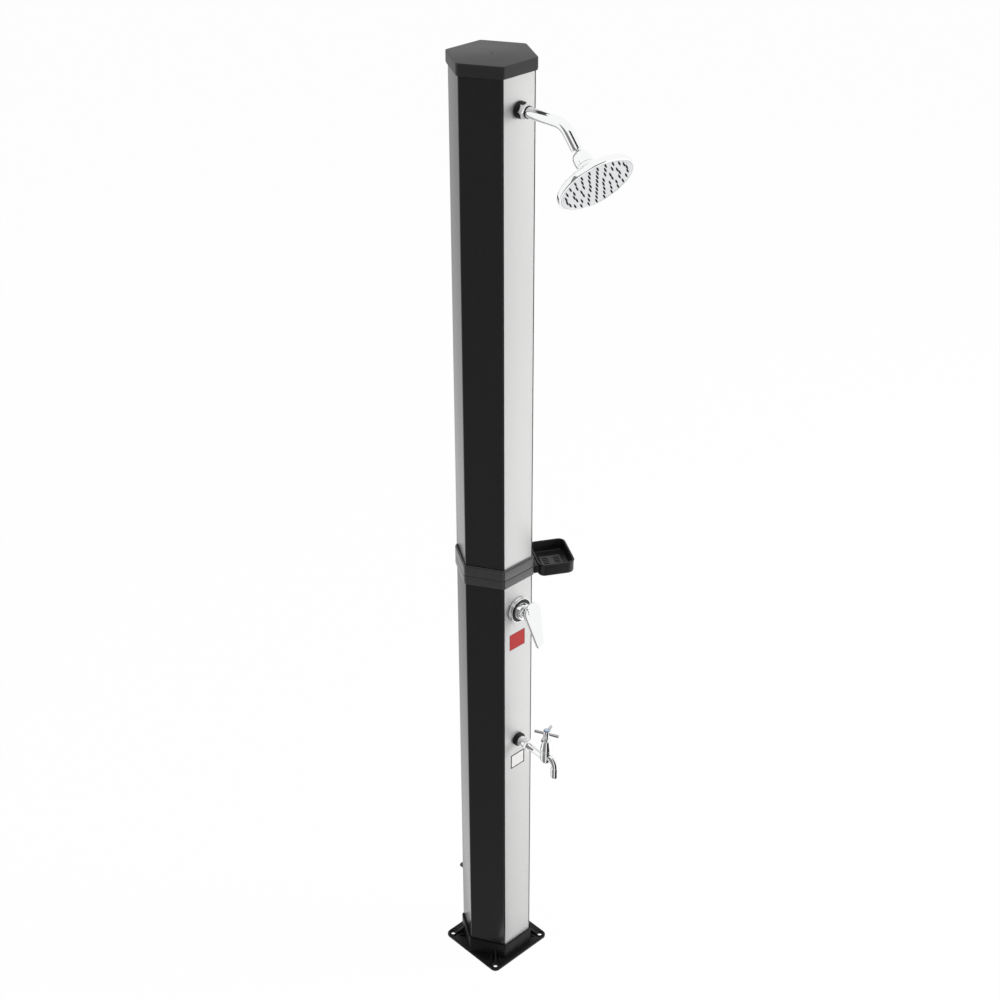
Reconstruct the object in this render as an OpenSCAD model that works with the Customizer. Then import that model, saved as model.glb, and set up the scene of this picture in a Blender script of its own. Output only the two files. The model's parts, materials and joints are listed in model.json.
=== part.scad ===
// Outdoor shower post: two hexagonal water tanks stacked on a bolted foot, with a soap dish, a mixer,
// a bent arm with a tilting shower head and a foot tap.
// X runs to the right, the front with its silver panels faces -Y, and Z = 0 is the ground under the foot.

/* [Column] */
// Distance across the flats of the hexagonal tanks
tank_flat = 144; // [140:1:150]
// Radius of the tanks' outer corners
tank_corner_r = 4; // [3:0.5:6]
// Thickness of the tanks' walls
tank_wall = 4; // [3.6:0.2:5]
// Height of the whole column
column_h = 2170; // [2150:5:2300]
// Height of the seam between the two tanks
joint_z = 1089; // [1080:1:1110]

/* [Front panels] */
// Width of each silver panel
panel_w = 78; // [70:1:79]
// Thickness of each silver panel
panel_t = 1.6; // [1:0.1:1.8]
// Depth of the channel that the panels lie in
panel_recess = 2; // [1.8:0.1:2.2]
// How far each panel runs under the collars
panel_tuck = 6; // [3:1:10]

/* [Foot] */
// Side of the square foot plate
base_w = 175; // [170:1:190]
// Thickness of the foot plate
base_t = 6; // [5:0.5:8]
// Corner radius of the foot plate
base_corner_r = 13; // [8:1:14]
// Height of the collar that holds the tank
base_collar_top = 48; // [40:1:60]
// Distance between neighbouring anchor holes
anchor_pitch = 149; // [147:1:151]
// Diameter of an anchor hole
anchor_hole_d = 10.5; // [8:0.5:12]
// Diameter of the boss round an anchor hole
anchor_boss_d = 20; // [18:1:22]
// Height of the boss above the plate
anchor_boss_h = 2.5; // [1:0.5:4]
// Height of the gussets between the collar and the bosses
gusset_h = 24; // [18:1:30]
// Thickness of a gusset
gusset_t = 4; // [3:0.5:6]

/* [Collars and cap] */
// How far the collars stand out from the tank
collar_proud = 3.5; // [3:0.5:5]
// Height of the lower tank's collar
lower_collar_h = 20; // [16:1:24]
// Height of the upper tank's collar
upper_collar_h = 25.5; // [20:0.5:30]
// Height of the stepped ledge on the upper collar
collar_ledge_h = 3.5; // [2:0.5:5]
// Width of the stepped ledge on the upper collar
collar_ledge_w = 1.5; // [1:0.5:2.5]
// Thickness of the plate that closes each collar
collar_web = 4; // [3:0.5:6]
// Height of the top cap
cap_h = 24; // [20:1:30]
// How far the top cap stands out from the tank
cap_proud = 4; // [3:0.5:5]
// Thickness of the cap's top
cap_top = 4; // [3:0.5:6]
// Diameter of the shallow moulding mark in the cap's top
cap_mark_d = 6; // [4:1:8]

/* [Soap dish] */
// Depth of the dish, out from the column
dish_depth = 78; // [70:1:90]
// Width of the dish
dish_w = 96; // [84:1:110]
// Height of the dish
dish_h = 29; // [24:1:34]
// Height of the dish's rim above the ground
dish_rim_z = 1090.5; // [1085:0.5:1095]
// Radius of the dish's corners
dish_corner_r = 14; // [8:1:18]
// Thickness of the dish's walls
dish_wall = 2.5; // [2:0.5:3.5]
// How far the rim stands out from the walls
dish_rim_w = 1.2; // [0.5:0.1:2]
// Side of the raised drain grid
grid_w = 46; // [36:1:52]
// Number of slots in the drain grid
grid_slots = 5; // [3:1:7]

/* [Mixer] */
// Height of the mixer's axis
mixer_z = 1000; // [950:5:1010]
// Radius of the mixer's wall rosette
rosette_r = 30.5; // [28:0.5:34]
// Length of the chrome sleeve on the mixer
sleeve_h = 20; // [19:0.5:20]
// Distance of the lever's pin from the front panel
lever_pin_out = 38; // [38:0.5:39]
// Radius of the lever's wide round end
paddle_big_r = 22.5; // [20:0.5:25]
// Radius of the lever's tip
paddle_tip_r = 11; // [8:0.5:13]
// Distance between the centres of the lever's two ends
paddle_reach = 70; // [60:1:80]
// Thickness of the lever's blade
paddle_t = 6; // [5:0.5:7]
// Lean of the blade away from the column
paddle_lean = 18; // [12:1:20]

/* [Shower arm] */
// Depth of the arm's axis below the top of the column
arm_below_top = 87; // [80:1:120]
// Outer radius of the arm
arm_r = 11; // [10:0.5:12]
// Wall of the arm
arm_wall = 2; // [1.5:0.5:3]
// Length of the arm's level run in front of the panel
arm_run = 93.4; // [80:0.1:120]
// Radius of the arm's bend
arm_bend_r = 40; // [34:1:50]
// Angle of the arm's bend
arm_bend = 50; // [40:1:55]
// Distance from the end of the bend to the centre of the ball
arm_drop = 47.7; // [45:0.1:60]

/* [Shower head] */
// Radius of the shower head
head_r = 74.3; // [70:0.1:90]
// Distance from the ball's centre to the head's face
head_reach = 60; // [58:1:64]
// Angle of the head's axis below level
head_down = 37; // [30:1:50]
// Angle of the head's axis to the side
head_side = -8; // [-10:1:10]
// Radius of the ball
ball_r = 9.5; // [9.5:0.1:9.6]
// Number of nozzles in the inner ring, and the step from ring to ring
nozzle_step_count = 6; // [4:1:8]
// Number of nozzle rings round the centre nozzle
nozzle_rings = 4; // [3:1:4]
// Distance between nozzle rings
nozzle_ring_step = 15; // [13:0.5:15]
// Radius of a nozzle
nozzle_r = 1.6; // [1.2:0.1:2]

/* [Foot tap] */
// Height of the tap's wall shank
tap_z = 652; // [600:1:700]
// Distance of the tap's spindle from the front panel
tap_reach = 90; // [86:1:100]
// Length of one arm of the cross handle, from the spindle's axis
cross_arm = 27; // [22:1:32]
// Radius of a cross arm
cross_arm_r = 3.4; // [3:0.1:4]
// Angle of the cross handle when the tap is shut
cross_turn = 24; // [0:1:90]

/* [Inlet] */
// Height of the hose inlet at the back
inlet_z = 149; // [120:1:200]
// How far the inlet stands out from the back
inlet_out = 51; // [46:1:60]

/* [Hidden] */

$fn = 64;

plastic_black = "#1c1c1e";
rubber_black = "#111111";
panel_silver = "#d2d2d0";
chrome = "#dfe3e6";
brass = "#b59a55";
pipe_white = "#e6e6e0";
index_blue = "#b9cfe6";

// Overrun of every cut past the face that it opens
over = 1;
// Gap between a tank and the collar or plug that it fits
glue_gap = 0.2;
// Gap between faces of pieces that move past each other
free_gap = 0.3;
// Radial clearance of a turning shaft in its bore
run_gap = 0.05;
// Radial clearance of a thread or a fixed shank in its hole
thread_gap = 0.1;

hex_sides = 6;
quarter = 90;
hex_turn = 4 * quarter / hex_sides;
corner_steps = 4;

collar_flat = tank_flat + 2 * collar_proud;
socket_flat = tank_flat + 2 * glue_gap;
plug_flat = tank_flat - 2 * tank_wall - 2 * glue_gap;
cap_flat = tank_flat + 2 * cap_proud;
panel_side_gap = 0.5;
channel_w = panel_w + 2 * panel_side_gap;
channel_y = -(tank_flat / 2 - panel_recess);
panel_y = channel_y - panel_t;
wall_in = tank_wall - panel_recess + panel_t;
web_bottom = joint_z - collar_web;
web_top = joint_z + collar_web;
cap_web = column_h - cap_top;
arm_z = column_h - arm_below_top;

// Corners of a hexagon with flats at the front and back, each corner an arc
function hex_outline(flat, r) = [
    for (k = [0 : hex_sides - 1], j = [0 : corner_steps])
        let (to = k * hex_turn,
             a = to + (j / corner_steps - 1 / 2) * hex_turn,
             c = (flat / 2 - r) / cos(hex_turn / 2))
        [c * cos(to) + r * cos(a), c * sin(to) + r * sin(a)]
];

// Corners of a rectangle, each corner an arc
function box_outline(w, d, r) = [
    for (k = [0 : 3], j = [0 : corner_steps])
        let (a = (k + j / corner_steps) * quarter, sx = k == 0 || k == 3 ? 1 : -1, sy = k < 2 ? 1 : -1)
        [sx * (w / 2 - r) + r * cos(a), sy * (d / 2 - r) + r * sin(a)]
];

// Stands children on the front panel: local Y points up and local Z points straight out
module on_front(z) translate([0, panel_y, z]) rotate([quarter, 0, 0]) children();

// Stands children on the back of the column: local Z points straight out
module on_back(z) translate([0, tank_flat / 2, z]) rotate([-quarter, 0, 0]) children();

// A flat ring
module ring(r_out, r_in, h) linear_extrude(h) difference() {
    circle(r_out);
    circle(r_in);
}

// A round rod between two points
module rod(a, b, r) {
    v = b - a;
    translate(a) rotate([0, acos(v[2] / norm(v)), atan2(v[1], v[0])]) cylinder(r = r, h = norm(v));
}

// Small screw with a round head at its origin and its shank along -Z
screw_head_r = 4.2;
screw_head_h = 2;
screw_shank_r = 1.9;
screw_shank_h = 7;
screw_x = 20;
module screw() {
    cylinder(r = screw_head_r, h = screw_head_h);
    translate([0, 0, -screw_shank_h]) cylinder(r = screw_shank_r, h = screw_shank_h + over);
}

// Cuts the pair of screw holes at one height through the back of a collar and its tank
module screw_holes(z) for (x = [-screw_x, screw_x]) on_back(z) translate([x, 0, -tank_wall - over])
    cylinder(r = screw_shank_r + thread_gap, h = tank_wall + cap_proud + 2 * over);

screw_below_joint = 11;
screw_above_joint = 12;
screw_below_top = 14;
base_screw_z = 30;
lower_screw_z = joint_z - screw_below_joint;
upper_screw_z = joint_z + screw_above_joint;
cap_screw_z = column_h - screw_below_top;

// One screw of a pair on the back face, with its head against a collar that stands this far out
module back_screw(x, z, proud) color(chrome) on_back(z) translate([x, 0, proud]) screw();

// Foot, tanks, collars and cap

anchor_r = anchor_pitch / sqrt(2);
gusset_in = collar_flat / 2 + free_gap;
gusset_out = anchor_r - anchor_boss_d / 3;
boss_top = base_t + anchor_boss_h;

// Places children at the four corners of the foot, with local X pointing outwards
module at_corners() for (k = [0 : 3]) rotate([0, 0, quarter / 2 + k * quarter]) children();

// Square foot with a hexagonal socket for the tank, four anchor bosses and a gusset to each boss
module base_plate() color(plastic_black) difference() {
    union() {
        linear_extrude(base_t) polygon(box_outline(base_w, base_w, base_corner_r));
        linear_extrude(base_collar_top) polygon(hex_outline(collar_flat, tank_corner_r + collar_proud));
        at_corners() translate([anchor_r, 0, 0]) cylinder(d = anchor_boss_d, h = boss_top);
        at_corners() rotate([quarter, 0, 0]) linear_extrude(gusset_t, center = true)
            polygon([[gusset_in, 0], [gusset_out, 0],
                     [gusset_out, boss_top], [gusset_in, base_t + gusset_h]]);
    }
    translate([0, 0, base_t]) linear_extrude(base_collar_top)
        polygon(hex_outline(socket_flat, tank_corner_r));
    at_corners() translate([anchor_r, 0, -over]) cylinder(d = anchor_hole_d, h = boss_top + 2 * over);
    screw_holes(base_screw_z);
}

// Hexagonal tube with the panel's channel down its front
module tank(z0, z1) translate([0, 0, z0]) linear_extrude(z1 - z0) difference() {
    polygon(hex_outline(tank_flat, tank_corner_r));
    polygon(hex_outline(tank_flat - 2 * tank_wall, tank_corner_r / 2));
    translate([-channel_w / 2, channel_y - panel_recess - over]) square([channel_w, panel_recess + over]);
}

// Round hole through the front panel and the tank's front wall
module front_hole(z, r) on_front(z) translate([0, 0, -wall_in - over])
    cylinder(r = r, h = wall_in + 2 * over);

mixer_body_r = 16.5;
tap_shank_r = 10.2;
inlet_shank_r = 8;

module lower_tank() color(plastic_black) difference() {
    tank(base_t, web_bottom);
    front_hole(mixer_z, mixer_body_r + thread_gap);
    front_hole(tap_z, tap_shank_r + thread_gap);
    on_back(inlet_z) translate([0, 0, -tank_wall - over])
        cylinder(r = inlet_shank_r + thread_gap, h = tank_wall + 2 * over);
    screw_holes(base_screw_z);
    screw_holes(lower_screw_z);
}

module upper_tank() color(plastic_black) difference() {
    tank(web_top, cap_web);
    front_hole(arm_z, arm_r + thread_gap);
    screw_holes(upper_screw_z);
    screw_holes(cap_screw_z);
}

// Silver sheet that lies in the channel
module panel(z0, z1) translate([-panel_w / 2, panel_y, z0]) cube([panel_w, panel_t, z1 - z0]);

module lower_front_panel() color(panel_silver) difference() {
    panel(base_collar_top - panel_tuck, joint_z - lower_collar_h + panel_tuck);
    front_hole(mixer_z, mixer_body_r + thread_gap);
    front_hole(tap_z, tap_shank_r + thread_gap);
}

module upper_front_panel() color(panel_silver) difference() {
    panel(joint_z + upper_collar_h - panel_tuck, column_h - cap_h + panel_tuck);
    front_hole(arm_z, arm_r + thread_gap);
}

collar_corner_r = tank_corner_r + collar_proud;
cap_corner_r = tank_corner_r + cap_proud;

// The ports of the mixer lie this far behind the panel, in line with the pipes
port_in = 22;
pipe_y = panel_y + port_in;
pipe_x = 36;
pipe_r = 6;
nipple_r = 16;
nipple_bore_r = 12;
nipple_flange_r = 22;
nipple_flange_h = 6;
nipple_end = 16;

// Holes for the nipple and two pipes through the plates of both collars
module web_holes() {
    translate([0, 0, web_bottom - over])
        cylinder(r = nipple_r + thread_gap, h = 2 * (collar_web + over));
    for (x = [-pipe_x, pipe_x]) translate([x, pipe_y, web_bottom - over])
        cylinder(r = pipe_r + thread_gap, h = 2 * (collar_web + over));
}

module lower_collar() color(plastic_black) difference() {
    translate([0, 0, joint_z - lower_collar_h]) linear_extrude(lower_collar_h)
        polygon(hex_outline(collar_flat, collar_corner_r));
    translate([0, 0, joint_z - lower_collar_h - over]) linear_extrude(lower_collar_h - collar_web + over)
        polygon(hex_outline(socket_flat, tank_corner_r));
    web_holes();
    screw_holes(lower_screw_z);
}

module upper_collar() color(plastic_black) difference() {
    union() {
        translate([0, 0, joint_z]) linear_extrude(upper_collar_h - collar_ledge_h)
            polygon(hex_outline(collar_flat, collar_corner_r));
        translate([0, 0, joint_z]) linear_extrude(upper_collar_h)
            polygon(hex_outline(collar_flat - 2 * collar_ledge_w, collar_corner_r - collar_ledge_w));
    }
    translate([0, 0, web_top]) linear_extrude(upper_collar_h)
        polygon(hex_outline(socket_flat, tank_corner_r));
    web_holes();
    screw_holes(upper_screw_z);
}

cap_edge = 1;
cap_mark_depth = 0.6;

module top_cap() color(plastic_black) difference() {
    union() {
        translate([0, 0, column_h - cap_h]) linear_extrude(cap_h - cap_edge)
            polygon(hex_outline(cap_flat, cap_corner_r));
        translate([0, 0, column_h - cap_h]) linear_extrude(cap_h)
            polygon(hex_outline(cap_flat - 2 * cap_edge, cap_corner_r - cap_edge));
    }
    translate([0, 0, column_h - cap_h - over]) linear_extrude(cap_h - cap_top + over)
        polygon(hex_outline(socket_flat, tank_corner_r));
    translate([0, 0, column_h - cap_mark_depth]) cylinder(d = cap_mark_d, h = cap_mark_depth + over);
    screw_holes(cap_screw_z);
}

plug_h = 12;
upper_plug_drop = 36;

// Solid end plug glued inside a tank
module plug(z) color(plastic_black) translate([0, 0, z]) linear_extrude(plug_h)
    polygon(hex_outline(plug_flat, tank_corner_r / 2));

module lower_plug() plug(base_t);
module upper_plug() plug(cap_web - upper_plug_drop - plug_h);

// Threaded tube that joins the two tanks' water, with a flange under the lower plate
module joint_nipple() color(brass) {
    translate([0, 0, web_bottom - nipple_end])
        ring(nipple_r, nipple_bore_r, 2 * (collar_web + nipple_end));
    translate([0, 0, web_bottom - nipple_flange_h])
        ring(nipple_flange_r, nipple_bore_r, nipple_flange_h);
}

module joint_nut() color(brass) translate([0, 0, web_top])
    ring(nipple_flange_r, nipple_r + thread_gap, nipple_flange_h);

// Pipes inside the tanks

port_r = 7.4;
mixer_port_x = 28;
mixer_port_drop = 25;
shank_in = 13.6;
inlet_in = 22;
hot_rise = 27;
hot_top = arm_z + hot_rise;
inner_end_y = panel_y + shank_in;

// Runs of pipe through a list of points, with a rounder elbow at each turn
module pipe_route(points) {
    for (k = [1 : len(points) - 1]) rod(points[k - 1], points[k], pipe_r);
    if (len(points) > 2) for (k = [1 : len(points) - 2]) translate(points[k])
        sphere(port_r);
}

// Cold water from the inlet up to the mixer, with a branch to the foot tap
module cold_pipe() color(pipe_white) {
    pipe_route([[0, pipe_y, mixer_z - mixer_port_drop], [0, pipe_y, inlet_z],
                [0, tank_flat / 2 - inlet_in, inlet_z]]);
    pipe_route([[0, pipe_y, tap_z], [0, inner_end_y, tap_z]]);
}

// Hot water from the top of the upper tank down to the mixer
module hot_pipe() color(pipe_white)
    pipe_route([[-mixer_port_x, pipe_y, mixer_z], [-pipe_x, pipe_y, mixer_z], [-pipe_x, pipe_y, hot_top]]);

// Mixed water from the mixer up to the arm
module riser_pipe() color(pipe_white)
    pipe_route([[mixer_port_x, pipe_y, mixer_z], [pipe_x, pipe_y, mixer_z], [pipe_x, pipe_y, arm_z],
                [0, pipe_y, arm_z], [0, inner_end_y, arm_z]]);

// Soap dish on the right front face

bracket_reach = 10.5;
bracket_inset = 1;
bracket_out = collar_flat / 2 + bracket_reach;
dish_in = bracket_out + free_gap;
dish_mid = dish_in + dish_depth / 2;
dish_z = dish_rim_z - dish_h;
dish_floor = 3;
dish_foot = 1.5;
dish_rim_h = 2;
bracket_w = 84;
bracket_z = joint_z - lower_collar_h + bracket_inset;
bracket_top = joint_z - bracket_inset;
bracket_floor = 3;
slot_neck = 3;
slot_neck_w = 24;
slot_head = 4.2;
slot_head_w = 36;

// Turns children onto the right front face: local X points out and local Y runs along it
module on_dish_face() rotate([0, 0, -hex_turn / 2]) children();

// Plan of the vertical T-shaped slot, or of the tongue that fits it with the gap taken off all round
module tee(gap, reach) {
    translate([bracket_out - slot_neck - over, -slot_neck_w / 2 + gap])
        square([slot_neck + over + reach, slot_neck_w - 2 * gap]);
    translate([bracket_out - slot_neck - slot_head + gap, -slot_head_w / 2 + gap])
        square([slot_head - 2 * gap, slot_head_w - 2 * gap]);
}

// Wide black rail on the lower collar, with a slot that the dish drops into
module dish_bracket() color(plastic_black) on_dish_face() difference() {
    translate([collar_flat / 2, -bracket_w / 2, bracket_z])
        cube([bracket_out - collar_flat / 2, bracket_w, bracket_top - bracket_z]);
    translate([0, 0, bracket_z + bracket_floor]) linear_extrude(bracket_top) tee(0, over);
}

grid_border = 5;
drain_w = grid_w - 2 * grid_border;
grid_t = 2;
grid_slot_w = 3.2;
grid_pitch = drain_w / grid_slots;

// Open tray with a rim, a stepped foot, a drain opening and the tongue at its back
module soap_dish() color(plastic_black) on_dish_face() {
    translate([dish_mid, 0, dish_z]) difference() {
        union() {
            linear_extrude(dish_h) polygon(box_outline(
                dish_depth - 2 * dish_foot, dish_w - 2 * dish_foot, dish_corner_r - dish_foot));
            translate([0, 0, dish_foot]) linear_extrude(dish_h - dish_foot)
                polygon(box_outline(dish_depth, dish_w, dish_corner_r));
            translate([dish_rim_w / 2, 0, dish_h - dish_rim_h]) linear_extrude(dish_rim_h)
                polygon(box_outline(
                    dish_depth + dish_rim_w, dish_w + 2 * dish_rim_w, dish_corner_r + dish_rim_w));
        }
        translate([0, 0, dish_floor]) linear_extrude(dish_h) polygon(box_outline(
            dish_depth - 2 * dish_wall, dish_w - 2 * dish_wall, dish_corner_r - dish_wall));
        translate([0, 0, -over]) linear_extrude(dish_floor + 2 * over) square(drain_w, center = true);
    }
    translate([0, 0, bracket_z + bracket_floor]) linear_extrude(bracket_top - bracket_z - bracket_floor)
        tee(free_gap, dish_in - bracket_out + dish_wall / 2);
}

// Raised square grid over the drain opening
module drain_grid() color(plastic_black) on_dish_face() translate([dish_mid, 0, dish_z + dish_floor])
    linear_extrude(grid_t) difference() {
        square(grid_w, center = true);
        for (k = [0 : grid_slots - 1]) translate([0, (k - (grid_slots - 1) / 2) * grid_pitch])
            square([drain_w, grid_slot_w], center = true);
    }

// Mixer, with local Z pointing out of the front panel

seal_h = 1.2;
rosette_floor = 2.2;
rosette_h = 8.8;
rosette_rim = 4.5;
rosette_round = 1.6;
rosette_hole_r = mixer_body_r + 2 * free_gap;
rosette_in = seal_h + rosette_floor;
rosette_out = seal_h + rosette_h;
rosette_lip_r = rosette_r - rosette_rim;
sleeve_r = 18.2;
sleeve_top_r = 16.2;
sleeve_lip_h = 5.4;
sleeve_wall_top = sleeve_h - sleeve_lip_h;
body_mouth = 14;
body_depth = 33;
cartridge_r = 13.1;
cartridge_top = 10;
cartridge_bottom = -8;
stem_r = 9.5;
stem_flange_r = 14.5;
stem_flange_top = 25;
tongue_w = 10;
tongue_h = 10;
tongue_top = 42;
pin_r = 2.45;
locknut_h = 6;
locknut_extra = 6;

module mixer_seal() color(rubber_black) on_front(mixer_z)
    ring(rosette_r - rosette_round, rosette_hole_r, seal_h);

// Shallow chrome cup against the panel
module mixer_rosette() color(chrome) on_front(mixer_z) rotate_extrude() polygon([
    [rosette_hole_r, seal_h], [rosette_r, seal_h], [rosette_r, rosette_out - rosette_round],
    [rosette_r - rosette_round, rosette_out], [rosette_lip_r + rosette_round / 2, rosette_out],
    [rosette_lip_r, rosette_out - rosette_round], [rosette_lip_r, rosette_in], [rosette_hole_r, rosette_in]]);

module mixer_trim_ring() color(rubber_black) on_front(mixer_z) translate([0, 0, rosette_in])
    ring(rosette_lip_r - glue_gap, sleeve_r + glue_gap, rosette_h / 2);

// Fixed chrome sleeve, with a collar at its end that the stem turns in
module mixer_sleeve() color(chrome) on_front(mixer_z) rotate_extrude() polygon([
    [mixer_body_r + thread_gap, rosette_in], [sleeve_r, rosette_in], [sleeve_r, sleeve_h / 2],
    [sleeve_top_r, sleeve_h], [stem_r + run_gap, sleeve_h], [stem_r + run_gap, sleeve_wall_top],
    [mixer_body_r + thread_gap, sleeve_wall_top]]);

// Valve body through the wall, with hot and mixed ports at its sides and the cold port below
module mixer_body() color(brass) on_front(mixer_z) difference() {
    union() {
        translate([0, 0, -body_depth]) cylinder(r = mixer_body_r, h = body_depth + body_mouth);
        translate([-mixer_port_x, 0, -port_in]) rotate([0, quarter, 0])
            cylinder(r = port_r, h = 2 * mixer_port_x);
        translate([0, 0, -port_in]) rotate([quarter, 0, 0]) cylinder(r = port_r, h = mixer_port_drop);
    }
    translate([0, 0, cartridge_bottom]) cylinder(r = cartridge_r + thread_gap, h = body_depth);
}

module mixer_locknut() color(brass) on_front(mixer_z) translate([0, 0, -wall_in - locknut_h])
    ring(mixer_body_r + locknut_extra, mixer_body_r + thread_gap, locknut_h);

module mixer_cartridge() color(pipe_white) on_front(mixer_z) translate([0, 0, cartridge_bottom])
    cylinder(r = cartridge_r, h = cartridge_top - cartridge_bottom);

module mixer_cartridge_nut() color(brass) on_front(mixer_z) translate([0, 0, cartridge_top])
    ring(cartridge_r, stem_r + free_gap, body_mouth - cartridge_top);

// Turning stem with a flange and a flat tongue for the lever's pin
module mixer_stem() color(chrome) on_front(mixer_z) difference() {
    union() {
        translate([0, 0, cartridge_top + free_gap])
            cylinder(r = stem_r, h = sleeve_h - cartridge_top + over);
        translate([0, 0, sleeve_h + free_gap])
            cylinder(r = stem_flange_r, h = stem_flange_top - sleeve_h - free_gap);
        translate([-tongue_w / 2, -tongue_h / 2, stem_flange_top - over])
            cube([tongue_w, tongue_h, tongue_top - stem_flange_top + over]);
    }
    translate([-tongue_w, 0, lever_pin_out]) rotate([0, quarter, 0])
        cylinder(r = pin_r + run_gap, h = 2 * tongue_w);
}

paddle_up = 11;
paddle_out = 46.8;
cup_r = 15;
cup_bottom = 31;
cup_side_gap = 1;
cup_w = tongue_w + 2 * cup_side_gap;
cup_h = 18;
cup_top = 44;
cup_block = 3 * cup_r;
arc_step = 12;
lever_pin_l = 24;

// Teardrop: a big arc, a small arc and the two straight lines that touch both
function paddle_outline() =
    let (t = asin((paddle_big_r - paddle_tip_r) / paddle_reach),
         big = [for (k = [0 : arc_step]) -t + k * (180 + 2 * t) / arc_step],
         tip = [for (k = [0 : arc_step]) 180 + t + k * (180 - 2 * t) / arc_step])
    concat([for (a = big) paddle_big_r * [cos(a), sin(a)]],
           [for (a = tip) [paddle_tip_r * cos(a), paddle_tip_r * sin(a) - paddle_reach]]);

// Puts children in the blade's own frame: its front face is local Z = 0 and its length runs along local Y
module on_paddle() translate([0, paddle_up, paddle_out]) rotate([-paddle_lean, 0, 0]) children();

// Flat blade with a round cup behind it that straddles the stem's tongue
module mixer_lever() color(chrome) on_front(mixer_z) difference() {
    union() {
        on_paddle() translate([0, 0, -paddle_t]) linear_extrude(paddle_t) polygon(paddle_outline());
        intersection() {
            translate([0, 0, cup_bottom]) cylinder(r = cup_r, h = cup_block);
            on_paddle() translate([-cup_block, -cup_block, -cup_block - paddle_t / 2])
                cube([2 * cup_block, 2 * cup_block, cup_block]);
        }
    }
    translate([-cup_w / 2, -cup_h / 2, cup_bottom - over])
        cube([cup_w, cup_h, cup_top - cup_bottom + over]);
    translate([-cup_r - over, 0, lever_pin_out]) rotate([0, quarter, 0])
        cylinder(r = pin_r + run_gap, h = 2 * (cup_r + over));
}

module lever_pin() color(chrome) on_front(mixer_z)
    translate([-lever_pin_l / 2, 0, lever_pin_out]) rotate([0, quarter, 0])
        cylinder(r = pin_r, h = lever_pin_l);

// Shower arm

arm_ring_r = 16.5;
arm_ring_h = 9;
arm_nut_r = 14.5;
arm_nut_h = 14;
arm_end_gap = 18;

arm_step = 0.15;
arm_lap = 1;

// Puts children this far along the drop from the end of the bend, with local Z along the drop
module at_arm_end(along) translate([0, -arm_bend_r, arm_run]) rotate([arm_bend, 0, 0])
    translate([0, arm_bend_r, along]) children();

// Level run, bend and drop as one solid; the straight runs lap over the thinner bend
module arm_shape(r) {
    translate([0, 0, -shank_in]) cylinder(r = r, h = shank_in + arm_run + arm_lap);
    translate([0, -arm_bend_r, arm_run]) rotate([quarter, 0, quarter])
        rotate_extrude(angle = arm_bend) translate([arm_bend_r, 0]) circle(r - arm_step);
    at_arm_end(-arm_lap) cylinder(r = r, h = arm_drop - arm_end_gap + arm_lap);
}

// Tube through the wall, bent down to the shower head
module shower_arm() color(chrome) on_front(arm_z) difference() {
    arm_shape(arm_r);
    arm_shape(arm_r - arm_wall);
}

module arm_ring() color(rubber_black) on_front(arm_z) ring(arm_ring_r, arm_r + thread_gap, arm_ring_h);

module arm_nut() color(chrome) on_front(arm_z) translate([0, 0, arm_ring_h]) difference() {
    cylinder(r = arm_nut_r, h = arm_nut_h, $fn = 6);
    translate([0, 0, -over]) cylinder(r = arm_r + thread_gap, h = arm_nut_h + 2 * over);
}

module arm_locknut() color(brass) on_front(arm_z) translate([0, 0, -wall_in - locknut_h])
    ring(arm_r + locknut_extra, arm_r + thread_gap, locknut_h);

ball_shank_r = 4.6;
ball_flange_r = 10.4;
ball_flange_from = 14.8;
ball_bore_r = 2.5;
ball_thread_l = 9;

// Ball on a thin shank, with a flange against the arm's end and a thread inside it
module ball_nipple() color(chrome) on_front(arm_z) at_arm_end(arm_drop) difference() {
    union() {
        sphere(ball_r);
        translate([0, 0, -arm_end_gap]) cylinder(r = ball_shank_r, h = arm_end_gap);
        translate([0, 0, -arm_end_gap]) cylinder(r = ball_flange_r, h = arm_end_gap - ball_flange_from);
        translate([0, 0, -arm_end_gap - ball_thread_l])
            cylinder(r = arm_r - arm_wall - thread_gap, h = ball_thread_l + over);
    }
    translate([0, 0, -arm_end_gap - ball_thread_l - over])
        cylinder(r = ball_bore_r, h = 2 * (arm_end_gap + ball_thread_l));
}

// Shower head, with its origin at the ball's centre and local Z pointing out of the face

ball_y = panel_y - arm_run - arm_bend_r * sin(arm_bend) - arm_drop * cos(arm_bend);
ball_z = arm_z - arm_bend_r * (1 - cos(arm_bend)) - arm_drop * sin(arm_bend);

// Puts children on the ball, tilted down but not yet turned to the side
module at_tilt() translate([0, ball_y, ball_z]) rotate([quarter + head_down, 0, 0]) children();

// Puts children in the head's own frame
module at_head() at_tilt() rotate([0, head_side, 0]) children();

slip_ring_r = 11;
slip_ring_h = 1.4;
seal_r = 8.6;
seal_bore_r = 5.5;
seal_from = 8.6;
seal_to = 11;
nut_bore_r = 12.2;
nut_cavity = 3.9;
nut_r = 17;
nut_end = 16;
lip_r = 8.35;
lip_at = -4.9;
mouth_r = 9.6;
mouth_at = -9.2;
spigot_from = 4.6;
neck_bore_r = 4;
// Outside of the nut, from its mouth on, as shares of its radius and its length
nut_shares = [[0.624, -0.02], [0.794, 0.08], [0.93, 0.24], [0.976, 0.4], [1, 0.6], [1, 1]];

module slip_ring() color(rubber_black) at_tilt() translate([0, 0, -slip_ring_h / 2])
    ring(slip_ring_r, ball_r + free_gap + run_gap, slip_ring_h);

module ball_seal() color(rubber_black) at_head() translate([0, 0, seal_from])
    ring(seal_r, seal_bore_r, seal_to - seal_from);

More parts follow.
